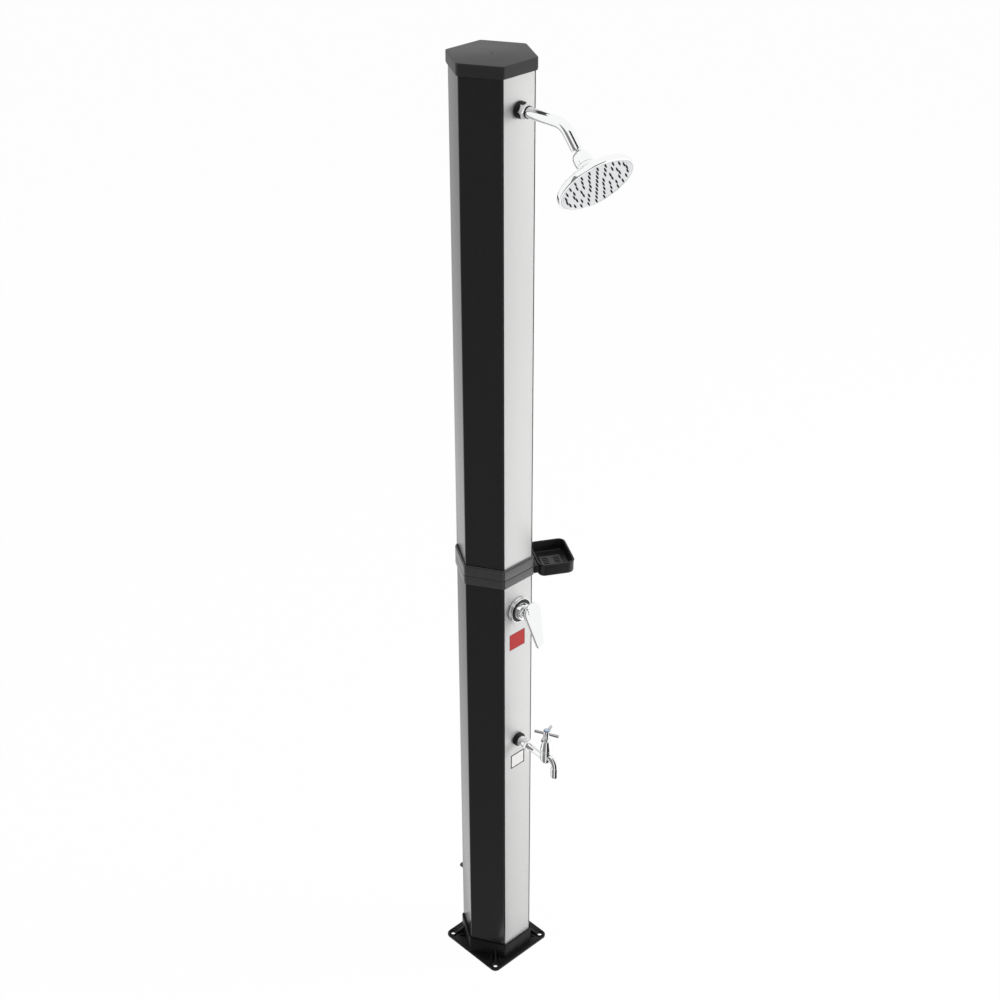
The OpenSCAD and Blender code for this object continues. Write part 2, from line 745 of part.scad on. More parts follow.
// Flared collar nut that holds the ball
module head_nut() color(chrome) at_head() rotate_extrude() polygon(concat(
    [[mouth_r, mouth_at]],
    [for (s = nut_shares) [s[0] * nut_r, mouth_at + s[1] * (nut_end - mouth_at)]],
    [[nut_bore_r, nut_end], [nut_bore_r, -nut_cavity], [lip_r, lip_at]]));

face_r = 69.8;
face_t = 2.5;
face_set = 0.6;
chamber_r = 66;
chamber_wall_h = 3;
mat_t = 2.6;
nozzle_out = 1.6;
plate_back = head_reach - face_set - face_t;
mat_back = plate_back - mat_t;
neck_h = 3;
neck_at = nut_end + neck_h;
// Skins of the head as shares of its radius and of the height from the neck to the face
outer_shares = [[0.262, 0.073], [0.38, 0.171], [0.62, 0.341], [0.82, 0.537], [0.94, 0.659],
                [0.988, 0.732], [1, 0.805], [1, 0.927], [0.987, 0.976], [0.96, 1]];
inner_shares = [[0.82, 0.634], [0.38, 0.256]];

// Outline points from a table of shares
function head_skin(shares) = [for (s = shares) [s[0] * head_r, neck_at + s[1] * (head_reach - neck_at)]];

// Shallow bell: the outer skin runs from the neck to the rim and the inner skin back to the water way
module head_shell() color(chrome) at_head() rotate_extrude() polygon(concat(
    [[nut_bore_r - thread_gap, spigot_from], [nut_bore_r - thread_gap, nut_end],
     [nut_r, nut_end], [nut_r, neck_at]],
    head_skin(outer_shares),
    [[face_r + glue_gap, head_reach], [face_r + glue_gap, plate_back],
     [chamber_r, plate_back], [chamber_r, mat_back - chamber_wall_h]],
    head_skin(inner_shares),
    [[neck_bore_r, neck_at + neck_h], [neck_bore_r, seal_to + free_gap],
     [seal_r + free_gap, seal_to + free_gap], [seal_r + free_gap, spigot_from]]));

// Centres of the nozzles: one in the middle and rings of ever more round it
function nozzle_spots() = concat([[0, 0]], [
    for (k = [1 : nozzle_rings], j = [0 : k * nozzle_step_count - 1])
        let (a = j * 4 * quarter / (k * nozzle_step_count)) k * nozzle_ring_step * [cos(a), sin(a)]
]);

module face_plate() color(chrome) at_head() translate([0, 0, plate_back])
    linear_extrude(face_t) difference() {
        circle(face_r);
        for (p = nozzle_spots()) translate(p) circle(nozzle_r + thread_gap);
    }

// Rubber mat behind the plate with one nozzle through each hole
module nozzle_mat() color(rubber_black) at_head() {
    translate([0, 0, mat_back]) cylinder(r = chamber_r - glue_gap, h = mat_t);
    for (p = nozzle_spots()) translate([p[0], p[1], plate_back - over])
        cylinder(r = nozzle_r, h = over + face_t + nozzle_out);
}

// Foot tap

tap_axis_y = panel_y - tap_reach;
tap_ring_r = 17;
tap_ring_h = 9;
tap_hex_r = 14.5;
tap_hex_from = 31;
tap_hex_h = 7.5;
tap_neck_r = 7.6;
tap_neck_drop = 5;
barrel_r = 14;
barrel_top = 16;
bowl_bottom = -16;
chamber_floor = -4;
tap_chamber_r = 9.5;
seat_r = 4.5;
seat_depth = 6;
spout_r = 8.2;
spout_bend_r = 20;
spout_up = 6;
spout_root = 6.5;
spout_end_y = -(spout_root + spout_bend_r);
outlet_r = 9.6;
outlet_drop = 39;
outlet_h = 26;
outlet_bore_r = 6.2;
outlet_bore_h = 12;
jumper_r = 7;
jumper_h = 4;
jumper_pin_r = 2;
jumper_pin_h = 6;
spindle_r = 4;
bonnet_h = 29;
gland_h = 6;
gland_r = 8;
hub_r = 7.5;
hub_from = 57;
hub_h = 17;
cross_at = 66;
index_r = 6.6;
index_h = 2.4;
// Rounded bottom of the barrel as shares of its radius, outwards and up
bowl_shares = [[0, 0], [0.357, 0.071], [0.686, 0.286], [0.914, 0.607], [1, 1]];
// Outside of the bonnet as shares of the barrel's radius and the bonnet's height
bonnet_shares = [[0.97, 0], [0.97, 0.207], [0.857, 0.345], [0.614, 0.897], [0.571, 1]];

// Origin on the spindle's axis at the height of the wall shank, with Z up
module at_tap() translate([0, tap_axis_y, tap_z]) children();

module tap_ring() color(rubber_black) on_front(tap_z) ring(tap_ring_r, tap_shank_r + thread_gap, tap_ring_h);

module tap_locknut() color(brass) on_front(tap_z) translate([0, 0, -wall_in - locknut_h])
    ring(tap_shank_r + locknut_extra, tap_shank_r + thread_gap, locknut_h);

// Wall shank, hexagon, neck, round valve barrel and curved spout in one casting
module tap_body() color(chrome) difference() {
    union() {
        on_front(tap_z) translate([0, 0, -shank_in])
            cylinder(r = tap_shank_r, h = shank_in + tap_hex_from + over);
        on_front(tap_z) translate([0, 0, tap_hex_from]) cylinder(r = tap_hex_r, h = tap_hex_h, $fn = 6);
        rod([0, panel_y - tap_hex_from, tap_z], [0, tap_axis_y, tap_z - tap_neck_drop], tap_neck_r);
        at_tap() rotate_extrude() polygon(concat(
            [for (s = bowl_shares) [s[0] * barrel_r, bowl_bottom + s[1] * barrel_r]],
            [[barrel_r, barrel_top], [0, barrel_top]]));
        at_tap() translate([0, -spout_root, spout_up - spout_bend_r]) rotate([quarter, 0, 0])
            rotate([quarter, 0, quarter]) rotate_extrude(angle = quarter) translate([spout_bend_r, 0])
                circle(spout_r);
        at_tap() translate([0, spout_end_y, -outlet_drop]) cylinder(r = outlet_r, h = outlet_h);
    }
    at_tap() translate([0, 0, chamber_floor])
        cylinder(r = tap_chamber_r, h = barrel_top - chamber_floor + over);
    at_tap() translate([0, 0, chamber_floor - seat_depth]) cylinder(r = seat_r, h = seat_depth + over);
    at_tap() translate([0, spout_end_y, -outlet_drop - over])
        cylinder(r = outlet_bore_r, h = outlet_bore_h + over);
}

// Tapered cover over the valve, bored for the spindle
module tap_bonnet() color(chrome) at_tap() translate([0, 0, barrel_top]) rotate_extrude() polygon(concat(
    [[spindle_r + run_gap, 0]],
    [for (s = bonnet_shares) [s[0] * barrel_r, s[1] * bonnet_h]],
    [[spindle_r + run_gap, bonnet_h]]));

module tap_gland_nut() color(chrome) at_tap() translate([0, 0, barrel_top + bonnet_h]) difference() {
    cylinder(r = gland_r, h = gland_h, $fn = 6);
    translate([0, 0, -over]) cylinder(r = spindle_r + free_gap, h = gland_h + 2 * over);
}

// Valve disc on its seat, with a pin up into the spindle
module tap_jumper() color(brass) at_tap() translate([0, 0, chamber_floor]) {
    cylinder(r = jumper_r, h = jumper_h);
    cylinder(r = jumper_pin_r, h = jumper_h + jumper_pin_h);
}

// Round spindle from the valve disc up into the handle's hub
module tap_spindle() color(brass) at_tap() translate([0, 0, chamber_floor + jumper_h]) difference() {
    cylinder(r = spindle_r, h = hub_from + hub_h / 2 - chamber_floor - jumper_h);
    translate([0, 0, -over]) cylinder(r = jumper_pin_r + run_gap, h = jumper_pin_h + 2 * over);
}

// Hub with four round arms
module tap_handle() color(chrome) at_tap() difference() {
    union() {
        translate([0, 0, hub_from]) cylinder(r = hub_r, h = hub_h);
        for (k = [0 : 3]) translate([0, 0, cross_at]) rotate([0, quarter, cross_turn + k * quarter])
            translate([0, 0, hub_r / 2]) cylinder(r = cross_arm_r, h = cross_arm - hub_r / 2);
    }
    translate([0, 0, hub_from - over]) cylinder(r = spindle_r + thread_gap, h = hub_h / 2 + over);
}

module tap_index() color(index_blue) at_tap() translate([0, 0, hub_from + hub_h])
    cylinder(r = index_r, h = index_h);

// Hose inlet at the back

inlet_flange_r = 13;
inlet_flange_h = 4;
inlet_hex_r = 12;
inlet_hex_h = 10;
inlet_barrel_r = 8.5;
inlet_barrel_h = 12;
inlet_nipple_r = 5.5;
inlet_ridge_r = 6.4;
inlet_ridge_h = 4;
inlet_bore_r = 3.5;
inlet_tail = inlet_flange_h + inlet_hex_h + inlet_barrel_h;

module inlet_fitting() color(chrome) on_back(inlet_z) difference() {
    union() {
        translate([0, 0, -inlet_in]) cylinder(r = inlet_shank_r, h = inlet_in + over);
        cylinder(r = inlet_flange_r, h = inlet_flange_h);
        cylinder(r = inlet_hex_r, h = inlet_flange_h + inlet_hex_h, $fn = 6);
        cylinder(r = inlet_barrel_r, h = inlet_tail);
        cylinder(r = inlet_nipple_r, h = inlet_out);
        translate([0, 0, inlet_tail + inlet_ridge_h]) cylinder(r = inlet_ridge_r, h = inlet_ridge_h);
    }
    translate([0, 0, -inlet_in - over]) cylinder(r = inlet_bore_r, h = inlet_in + inlet_out + 2 * over);
}

module inlet_locknut() color(brass) on_back(inlet_z) translate([0, 0, -tank_wall - locknut_h])
    ring(inlet_shank_r + locknut_extra, inlet_shank_r + thread_gap, locknut_h);

base_plate();
lower_tank();
lower_front_panel();
lower_collar();
upper_collar();
upper_tank();
upper_front_panel();
top_cap();
lower_plug();
upper_plug();
joint_nipple();
joint_nut();
cold_pipe();
hot_pipe();
riser_pipe();
dish_bracket();
soap_dish();
drain_grid();
mixer_seal();
mixer_rosette();
mixer_trim_ring();
mixer_sleeve();
mixer_body();
mixer_locknut();
mixer_cartridge();
mixer_cartridge_nut();
mixer_stem();
mixer_lever();
lever_pin();
arm_ring();
arm_nut();
arm_locknut();
shower_arm();
ball_nipple();
slip_ring();
ball_seal();
head_nut();
head_shell();
face_plate();
nozzle_mat();
tap_ring();
tap_body();
tap_locknut();
tap_bonnet();
tap_gland_nut();
tap_jumper();
tap_spindle();
tap_handle();
tap_index();
inlet_fitting();
inlet_locknut();
back_screw(-screw_x, lower_screw_z, collar_proud);  // collar_screw_1
back_screw(screw_x, lower_screw_z, collar_proud);  // collar_screw_2
back_screw(-screw_x, upper_screw_z, collar_proud);  // collar_screw_3
back_screw(screw_x, upper_screw_z, collar_proud);  // collar_screw_4
back_screw(-screw_x, base_screw_z, collar_proud);  // base_screw_1
back_screw(screw_x, base_screw_z, collar_proud);  // base_screw_2
back_screw(-screw_x, cap_screw_z, cap_proud);  // cap_screw_1
back_screw(screw_x, cap_screw_z, cap_proud);  // cap_screw_2
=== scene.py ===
import json
from math import asin, atan2, cos, degrees, pi, radians, sin
import bmesh
import bpy
from mathutils import Matrix, Vector


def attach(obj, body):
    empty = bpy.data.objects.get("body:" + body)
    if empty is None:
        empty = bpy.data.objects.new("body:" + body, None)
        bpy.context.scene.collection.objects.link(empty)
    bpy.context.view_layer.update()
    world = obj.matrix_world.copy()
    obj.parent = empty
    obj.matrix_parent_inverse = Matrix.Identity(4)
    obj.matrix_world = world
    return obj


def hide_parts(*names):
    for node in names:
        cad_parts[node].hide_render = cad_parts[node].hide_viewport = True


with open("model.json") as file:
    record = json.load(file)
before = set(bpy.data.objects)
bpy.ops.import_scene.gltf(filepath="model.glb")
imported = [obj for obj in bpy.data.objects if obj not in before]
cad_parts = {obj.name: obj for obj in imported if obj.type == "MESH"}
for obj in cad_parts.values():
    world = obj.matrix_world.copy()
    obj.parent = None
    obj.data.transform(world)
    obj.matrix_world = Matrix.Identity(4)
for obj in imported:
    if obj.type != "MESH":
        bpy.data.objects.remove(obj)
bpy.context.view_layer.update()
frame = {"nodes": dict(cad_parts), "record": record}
nodes = frame["nodes"]
scene = bpy.context.scene
scene.view_settings.view_transform = "Standard"


# Camera
# A long lens in front of the column's left front corner, well above the soap dish, so that the post
# narrows towards its foot.
def placed(name, data):
    """Puts a mesh, a lamp or a camera into the scene as an object."""
    thing = bpy.data.objects.new(name, data)
    scene.collection.objects.link(thing)
    return thing


def moved(x, y, z):
    """A place moved from the origin."""
    return Matrix.Translation((x, y, z))


def tilted(angle, axis):
    """A place turned by an angle in degrees about X, Y or Z."""
    return Matrix.Rotation(radians(angle), 4, axis)


camera_azimuth = -43.744
camera_pitch = 30.959
camera_roll = -0.199
camera_spot = (-2.097, -2.209, 3.064)
camera_data = bpy.data.cameras.new("camera")
camera_data.sensor_width = 36
camera_data.lens = 61.81
camera_data.clip_end = 200
camera = placed("camera", camera_data)
camera.matrix_world = (moved(*camera_spot) @ tilted(camera_azimuth, "Z")
                       @ tilted(90 - camera_pitch, "X") @ tilted(camera_roll, "Z"))
scene.camera = camera


# Floor and studio light
# A wide pale floor, one large soft lamp at the front right, a weaker one at the left back and one
# above. Floor and sky show white to the camera and in the chrome, and light nothing by that.
def add(tree, family, *kinds):
    """Adds a shader or geometry node of each kind to a tree."""
    return [tree.nodes.new(family + "Node" + kind) for kind in kinds]


def preset(node, values):
    """Sets a node's inputs by name or number."""
    for socket, value in values.items():
        node.inputs[socket].default_value = value


def wire(tree, *links):
    """Joins sockets, each link given as from node, its output, to node, its input."""
    for source, output, target, entry in links:
        tree.links.new(source.outputs[output], target.inputs[entry])


def seen_white(tree, plain, output, white_kind, white_share):
    """Mixes a shader with plain white for rays that see it directly, in gloss or through glass."""
    path, first, second, share, white, mix = add(
        tree, "Shader", "LightPath", "Math", "Math", "Math", white_kind, "MixShader")
    first.operation = second.operation = "MAXIMUM"
    share.operation = "MULTIPLY"
    preset(share, {1: white_share})
    preset(white, {"Color": (1, 1, 1, 1), "Strength": 1})
    wire(tree, (path, "Is Camera Ray", first, 0), (path, "Is Glossy Ray", first, 1),
         (first, 0, second, 0), (path, "Is Transmission Ray", second, 1), (second, 0, share, 0),
         (share, 0, mix, 0), (plain, 0, mix, 1), (white, 0, mix, 2), (mix, 0, output, "Surface"))


sky = bpy.data.worlds.new("studio")
scene.world = sky
sky.use_nodes = True
sky_nodes = sky.node_tree.nodes
preset(sky_nodes["Background"], {"Color": (1, 1, 1, 1), "Strength": 0.3})
seen_white(sky.node_tree, sky_nodes["Background"], sky_nodes["World Output"], "Background", 1)

floor_half = 60
floor_sink = 0.0005
floor_mesh = bpy.data.meshes.new("floor")
floor_mesh.from_pydata([(sx * floor_half, sy * floor_half, -floor_sink)
                        for sx, sy in ((-1, -1), (1, -1), (1, 1), (-1, 1))], [], [(0, 1, 2, 3)])
floor = placed("floor", floor_mesh)
floor_paint = bpy.data.materials.new("floor_paint")
floor_paint.use_nodes = True
floor_nodes = floor_paint.node_tree.nodes
preset(floor_nodes["Principled BSDF"], {"Base Color": (0.9, 0.9, 0.9, 1), "Roughness": 0.9})
seen_white(floor_paint.node_tree, floor_nodes["Principled BSDF"], floor_nodes["Material Output"],
           "Emission", 0.98)
floor_mesh.materials.append(floor_paint)

lamp_target = Vector((0, 0, 1.2))
for name, place, size, watts in (("key", (3.2, -3.0, 2.2), 2.4, 250),
                                 ("fill", (-3.6, 1.4, 2.2), 2.0, 40),
                                 ("top", (0.2, -0.4, 4.6), 1.6, 25)):
    lamp_data = bpy.data.lights.new(name, "AREA")
    lamp_data.shape = "DISK"
    lamp_data.size = size
    lamp_data.energy = watts
    lamp = placed(name, lamp_data)
    lamp.location = place
    lamp.rotation_euler = (lamp_target - Vector(place)).to_track_quat("-Z", "Y").to_euler()
    lamp.visible_glossy = False


# Painted reflections: sheets of flat glowing tone, dark ones and one brighter than white, that only
# glossy rays see.
def painted_reflection_sheet(name, first_azimuth, last_azimuth, tone, course, steps=24):
    """A sheet round the post, over a course of (distance, height), that only reflections see."""
    points, faces = [], []
    count = len(course)
    for k in range(steps + 1):
        a = radians(first_azimuth + (last_azimuth - first_azimuth) * k / steps)
        points += [(r * sin(a), -r * cos(a), z) for r, z in course]
    for k in range(steps):
        here, there = count * k, count * (k + 1)
        faces += [(here + j, here + j + 1, there + j + 1, there + j) for j in range(count - 1)]
    mesh = bpy.data.meshes.new(name)
    mesh.from_pydata(points, [], faces)
    sheet = placed(name, mesh)
    paint = bpy.data.materials.new(name)
    paint.use_nodes = True
    glow = paint.node_tree.nodes.new("ShaderNodeEmission")
    preset(glow, {"Color": (tone, tone, tone, 1)})
    wire(paint.node_tree, (glow, 0, paint.node_tree.nodes["Material Output"], "Surface"))
    mesh.materials.append(paint)
    sheet.visible_camera = sheet.visible_diffuse = False
    sheet.visible_shadow = sheet.visible_transmission = False


# Painted dark reflections at the left and the front of the post, and a painted bright reflection of
# a lit floor at the right.
reflection_far, reflection_top, reflection_low = 3.0, 3.4, 0.0002
painted_reflection_sheet("left_flag", -112, -54, 0.22, [(0.05, reflection_low), (reflection_far, reflection_low), (reflection_far, reflection_top)])
painted_reflection_sheet("front_flag", -38, 6, 0.03,
     [(0.13, reflection_low), (reflection_far, reflection_low), (reflection_far, reflection_top), (1.6, 3.9)])
painted_reflection_sheet("right_pool", 20, 68, 1.25, [(0.8, reflection_low), (2.7, reflection_low)])


# Tanks
# Two hexagonal water tanks of extruded black plastic, one on the other, each with a shallow channel
# down its front for the silver panel. Their corners are rounded and their lips slightly broken.
tank_flat = 0.144
tank_wall = 0.004
tank_corner = 0.004
tank_low = 0.006
tank_end_room = 0.004
channel_half = 0.0395
channel_depth = 0.002
joint_z = 1.089
column_top = 2.17


def arc(x, y, r, first, last, steps):
    """Points round a centre from one angle to another."""
    return [(x + r * cos(a), y + r * sin(a))
            for a in (first + (last - first) * k / steps for k in range(steps + 1))]


def hexagon(flat, corner, steps=10):
    """Outline of a hexagon with flats at the front and back and round corners."""
    middle = (flat / 2 - corner) / cos(pi / 6)
    return [p for turn in (pi / 3 * k for k in range(6))
            for p in arc(middle * cos(turn), middle * sin(turn), corner, turn - pi / 6,
                         turn + pi / 6, steps)]


def rectangle(half, low, high):
    """Outline of a rectangle centred on x = 0."""
    return [(-half, low), (-half, high), (half, high), (half, low)]


def tank_outline():
    """The hexagon with the channel let into its front flat, between its last two corners."""
    points = hexagon(tank_flat, tank_corner)
    cut = len(points) // 6 * 5
    return points[:cut] + rectangle(channel_half, -tank_flat / 2,
                                    channel_depth - tank_flat / 2) + points[cut:]


def new_group(name, kind, inputs, outputs):
    """A node group with named inputs and outputs, given as (name, type), and its two ends."""
    group = bpy.data.node_groups.new(name, kind)
    for side, sockets in (("INPUT", inputs), ("OUTPUT", outputs)):
        for socket, sort in sockets:
            group.interface.new_socket(name=socket, in_out=side, socket_type="NodeSocket" + sort)
    return group, *add(group, "", "GroupInput", "GroupOutput")


def ended(tree, body, start, end):
    """Ends a tree: makes its instances real and sets the material given as its finish."""
    real, paint = add(tree, "Geometry", "RealizeInstances", "SetMaterial")
    wire(tree, (body, 0, real, 0), (real, 0, paint, "Geometry"),
         (start, "Finish", paint, "Material"), (paint, 0, end, 0))
    return tree


def extruder():
    """Geometry Nodes: fills flat outlines, holes left open, and draws them up to a height."""
    tree, start, end = new_group(
        "extruded outline", "GeometryNodeTree",
        [("Outline", "Geometry"), ("Height", "Float"), ("Finish", "Material")],
        [("Body", "Geometry")])
    curve, fill, extrude, flip, join, merge = add(
        tree, "Geometry", "MeshToCurve", "FillCurve", "ExtrudeMesh", "FlipFaces", "JoinGeometry",
        "MergeByDistance")
    lift, = add(tree, "Shader", "CombineXYZ")
    fill.mode = "NGONS"
    preset(extrude, {"Individual": False, "Offset Scale": 1})
    preset(merge, {"Distance": 1e-6})
    wire(tree, (start, "Outline", curve, "Mesh"), (curve, "Curve", fill, "Curve"),
         (start, "Height", lift, "Z"), (fill, "Mesh", extrude, "Mesh"),
         (lift, 0, extrude, "Offset"), (fill, "Mesh", flip, "Mesh"), (extrude, "Mesh", join, 0),
         (flip, "Mesh", join, 0), (join, 0, merge, "Geometry"))
    return ended(tree, merge, start, end)


def run_nodes(piece, name, tree, inputs):
    """Adds a Geometry Nodes modifier and sets its inputs by the identifiers of their sockets."""
    modifier = piece.modifiers.new(name, "NODES")
    modifier.node_group = tree
    for socket in tree.interface.items_tree:
        if socket.in_out == "INPUT" and socket.name in inputs:
            modifier[socket.identifier] = inputs[socket.name]


def rounded(piece, width, angle=40, segments=3):
    """Breaks the sharp edges of a piece with a small round."""
    bevel = piece.modifiers.new("edge round", "BEVEL")
    bevel.width = width
    bevel.segments = segments
    bevel.limit_method = "ANGLE"
    bevel.angle_limit = radians(angle)
    bevel.miter_outer = "MITER_ARC"


def settle(piece, sharp=35):
    """Turns a piece with its modifiers into a plain mesh, smooth but for its sharp edges."""
    view = bpy.context.evaluated_depsgraph_get()
    view.update()
    mesh = bpy.data.meshes.new_from_object(piece.evaluated_get(view), depsgraph=view)
    piece.modifiers.clear()
    piece.data = mesh
    mesh.shade_smooth()
    mesh.set_sharp_from_angle(angle=radians(sharp))


def hand_over(piece, slot, *stands_for, body="post"):
    """Gives a finished piece its body and hides the CAD nodes it stands for; slot is not used."""
    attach(piece, body)
    if stands_for:
        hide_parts(*stands_for)


extrude_tree = extruder()


def extruded(name, outlines, z0, z1, material, edge=0.0006, place=Matrix.Identity(4)):
    """A piece of flat outlines drawn up from z0 to z1, with its edges broken."""
    mesh = bpy.data.meshes.new(name)
    points, edges = [], []
    for outline in outlines:
        first = len(points)
        points += [(x, y, 0) for x, y in outline]
        edges += [(first + k, first + (k + 1) % len(outline)) for k in range(len(outline))]
    mesh.from_pydata(points, edges, [])
    piece = placed(name, mesh)
    run_nodes(piece, "draw", extrude_tree, {"Height": z1 - z0, "Finish": material})
    if edge:
        rounded(piece, edge)
    settle(piece)
    piece.data.transform(place @ moved(0, 0, z0))
    return piece


def grain_group():
    """Shader group: fine moulded grain and long faint waves, as a height and a tone."""
    group, start, end = new_group(
        "moulded grain", "ShaderNodeTree",
        [("Grain Scale", "Float"), ("Wave Scale", "Float"), ("Wave Share", "Float")],
        [("Height", "Float"), ("Tone", "Float")])
    place, grain, wave, stretch, mix = add(
        group, "Shader", "TexCoord", "TexNoise", "TexNoise", "Mapping", "Mix")
    preset(grain, {"Detail": 3})
    preset(wave, {"Detail": 2})
    preset(stretch, {"Scale": (1, 1, 0.12)})
    wire(group, (place, "Object", grain, "Vector"), (place, "Object", stretch, "Vector"),
         (stretch, "Vector", wave, "Vector"), (start, "Grain Scale", grain, "Scale"),
         (start, "Wave Scale", wave, "Scale"), (start, "Wave Share", mix, "Factor"),
         (grain, "Fac", mix, "A"), (wave, "Fac", mix, "B"), (mix, "Result", end, "Height"),
         (wave, "Fac", end, "Tone"))
    return group


def wear_group():
    """Shader group: a mask of light scuffs and settled dust, thicker on faces that look up."""
    group, start, end = new_group(
        "scuffs and dust", "ShaderNodeTree",
        [("Scuff Scale", "Float"), ("Scuff Amount", "Float"), ("Dust Amount", "Float")],
        [("Mask", "Float")])
    place, surface, scuff, cut, split = add(
        group, "Shader", "TexCoord", "NewGeometry", "TexNoise", "MapRange", "SeparateXYZ")
    up, dust, some, both = add(group, "Shader", *["Math"] * 4)
    preset(scuff, {"Detail": 6, "Roughness": 0.7})
    preset(cut, {"From Min": 0.58, "From Max": 0.8})
    preset(up, {1: 4})
    up.operation = "POWER"
    dust.operation = some.operation = "MULTIPLY"
    both.operation = "ADD"
    up.use_clamp = both.use_clamp = True
    wire(group, (place, "Object", scuff, "Vector"), (start, "Scuff Scale", scuff, "Scale"),
         (scuff, "Fac", cut, "Value"), (cut, "Result", some, 0), (start, "Scuff Amount", some, 1),
         (surface, "Normal", split, "Vector"), (split, "Z", up, 0), (up, 0, dust, 0),
         (start, "Dust Amount", dust, 1), (some, 0, both, 0), (dust, 0, both, 1),
         (both, 0, end, "Mask"))
    return group


grain_nodes = grain_group()
wear_nodes = wear_group()


def finish(name, colour, worn_colour, rough, rough_spread=0.08, metallic=0.0, specular=0.5,
           grain=900, wave=9, wave_share=0.3, bump=0.00002, scuff=(40, 0.25), dust=0.1):
    """A surface with grain, faint waves, scuffs and dust, coloured between two colours."""
    material = bpy.data.materials.new(name)
    material.use_nodes = True
    tree = material.node_tree
    shader = tree.nodes["Principled BSDF"]
    grains, wear, colours, roughness, relief = add(
        tree, "Shader", "Group", "Group", "Mix", "MapRange", "Bump")
    grains.node_tree, wear.node_tree = grain_nodes, wear_nodes
    colours.data_type = "RGBA"
    preset(shader, {"Metallic": metallic, "Specular IOR Level": specular})
    preset(grains, {"Grain Scale": grain, "Wave Scale": wave, "Wave Share": wave_share})
    preset(wear, {"Scuff Scale": scuff[0], "Scuff Amount": scuff[1], "Dust Amount": dust})
    preset(colours, {"A": (*colour, 1), "B": (*worn_colour, 1)})
    preset(roughness, {"To Min": rough - rough_spread, "To Max": rough + rough_spread})
    preset(relief, {"Distance": bump})
    wire(tree, (wear, "Mask", colours, "Factor"), (colours, "Result", shader, "Base Color"),
         (grains, "Tone", roughness, "Value"), (roughness, "Result", shader, "Roughness"),
         (grains, "Height", relief, "Height"), (relief, "Normal", shader, "Normal"))
    return material


tank_plastic = finish("tank_plastic", (0.013, 0.013, 0.0135), (0.03, 0.03, 0.03), 0.2)
for name, z0, z1 in (("lower_tank", tank_low, joint_z - tank_end_room),
                     ("upper_tank", joint_z + tank_end_room, column_top - tank_end_room)):
    tank = extruded(name + "_shell",
                    [tank_outline(), hexagon(tank_flat - 2 * tank_wall, tank_corner / 2)],
                    z0, z1, tank_plastic, edge=0.0005)
    hand_over(tank, "black_plastic", name)


# Front panels
# A satin silver sheet pressed into each tank's channel, brushed lengthwise, a little narrower than
# the channel so that a thin dark gap shows on both sides.
panel_half = 0.039
panel_back = -0.07
panel_front = -0.0716
panel_tuck = 0.006
foot_collar_top = 0.048
lower_collar_low = joint_z - 0.02
upper_collar_top = joint_z + 0.0255
cap_low = column_top - 0.024


def brushed(name, colour, dark, rough, metallic):
    """Satin metal brushed along Z: fine lines in tone, roughness and relief."""
    material = finish(name, colour, dark, rough, 0.03, metallic, grain=300, wave=2.5,
                      wave_share=0.6, bump=0.000004, scuff=(14, 0.2), dust=0.0)
    tree = material.node_tree
    place, stretch, lines, tone, mix = add(
        tree, "Shader", "TexCoord", "Mapping", "TexNoise", "MapRange", "Mix")
    mix.data_type = "RGBA"
    mix.blend_type = "MULTIPLY"
    preset(stretch, {"Scale": (2600, 2600, 9)})
    preset(lines, {"Scale": 1})
    preset(tone, {"To Min": 0.94, "To Max": 1.03})
    preset(mix, {"Factor": 1})
    shader = tree.nodes["Principled BSDF"]
    colours = shader.inputs["Base Color"].links[0].from_node
    wire(tree, (place, "Object", stretch, "Vector"), (stretch, "Vector", lines, "Vector"),
         (lines, "Fac", tone, "Value"), (colours, "Result", mix, "A"), (tone, "Result", mix, "B"),
         (mix, "Result", shader, "Base Color"))
    return material


panel_metal = brushed("panel_metal", (0.62, 0.62, 0.615), (0.53, 0.53, 0.53), 0.42, 0.55)
panel_outline = rectangle(panel_half, panel_back, panel_front)
for name, low, high in (("lower_front_panel", foot_collar_top, lower_collar_low),
                        ("upper_front_panel", upper_collar_top, cap_low)):
    panel = extruded(name + "_sheet", [panel_outline], low - panel_tuck, high + panel_tuck,
                     panel_metal, edge=0.0005)
    hand_over(panel, "silver_panel", name)


# Collars and top cap
# Moulded black rings glued over the ends of the tanks, screwed at the back. The upper ring has a
# small step round its top, and the cap carries the mark of its moulding gate.
collar = hexagon(0.151, 0.0075)
socket = hexagon(0.1444, 0.004)
seam_low, seam_high = joint_z - 0.0004, joint_z + 0.0008
step_low = joint_z + 0.022
collar_plastic = finish("collar_plastic", (0.036, 0.036, 0.0365), (0.07, 0.07, 0.07), 0.3,
                        specular=0.9, grain=1600, bump=0.00003, scuff=(60, 0.3), dust=0.03)
cap_plastic = finish("cap_plastic", (0.014, 0.014, 0.0145), (0.035, 0.035, 0.035), 0.5,
                     specular=0.55, grain=1600, bump=0.00003, scuff=(60, 0.3), dust=0.03)
for name, outlines, z0, z1, plastic, edge, stands_for in (
        ("lower_collar_ring", [collar, socket], lower_collar_low, seam_low, collar_plastic, 0.0008,
         ["lower_collar"]),
        ("upper_collar_ring", [collar, socket], seam_high, step_low, collar_plastic, 0.0008,
         ["upper_collar"]),
        ("upper_collar_step", [hexagon(0.148, 0.006), socket], step_low - 0.0005,
         upper_collar_top, collar_plastic, 0.0006, []),
        ("cap_cover", [hexagon(0.152, 0.008)], cap_low + 0.002, column_top - 0.0003, cap_plastic,
         0.0012, ["top_cap"]),
        ("cap_skirt", [hexagon(0.15, 0.007), socket], cap_low, cap_low + 0.003, cap_plastic,
         0.0004, [])):
    hand_over(extruded(name, outlines, z0, z1, plastic, edge), "black_plastic", *stands_for)


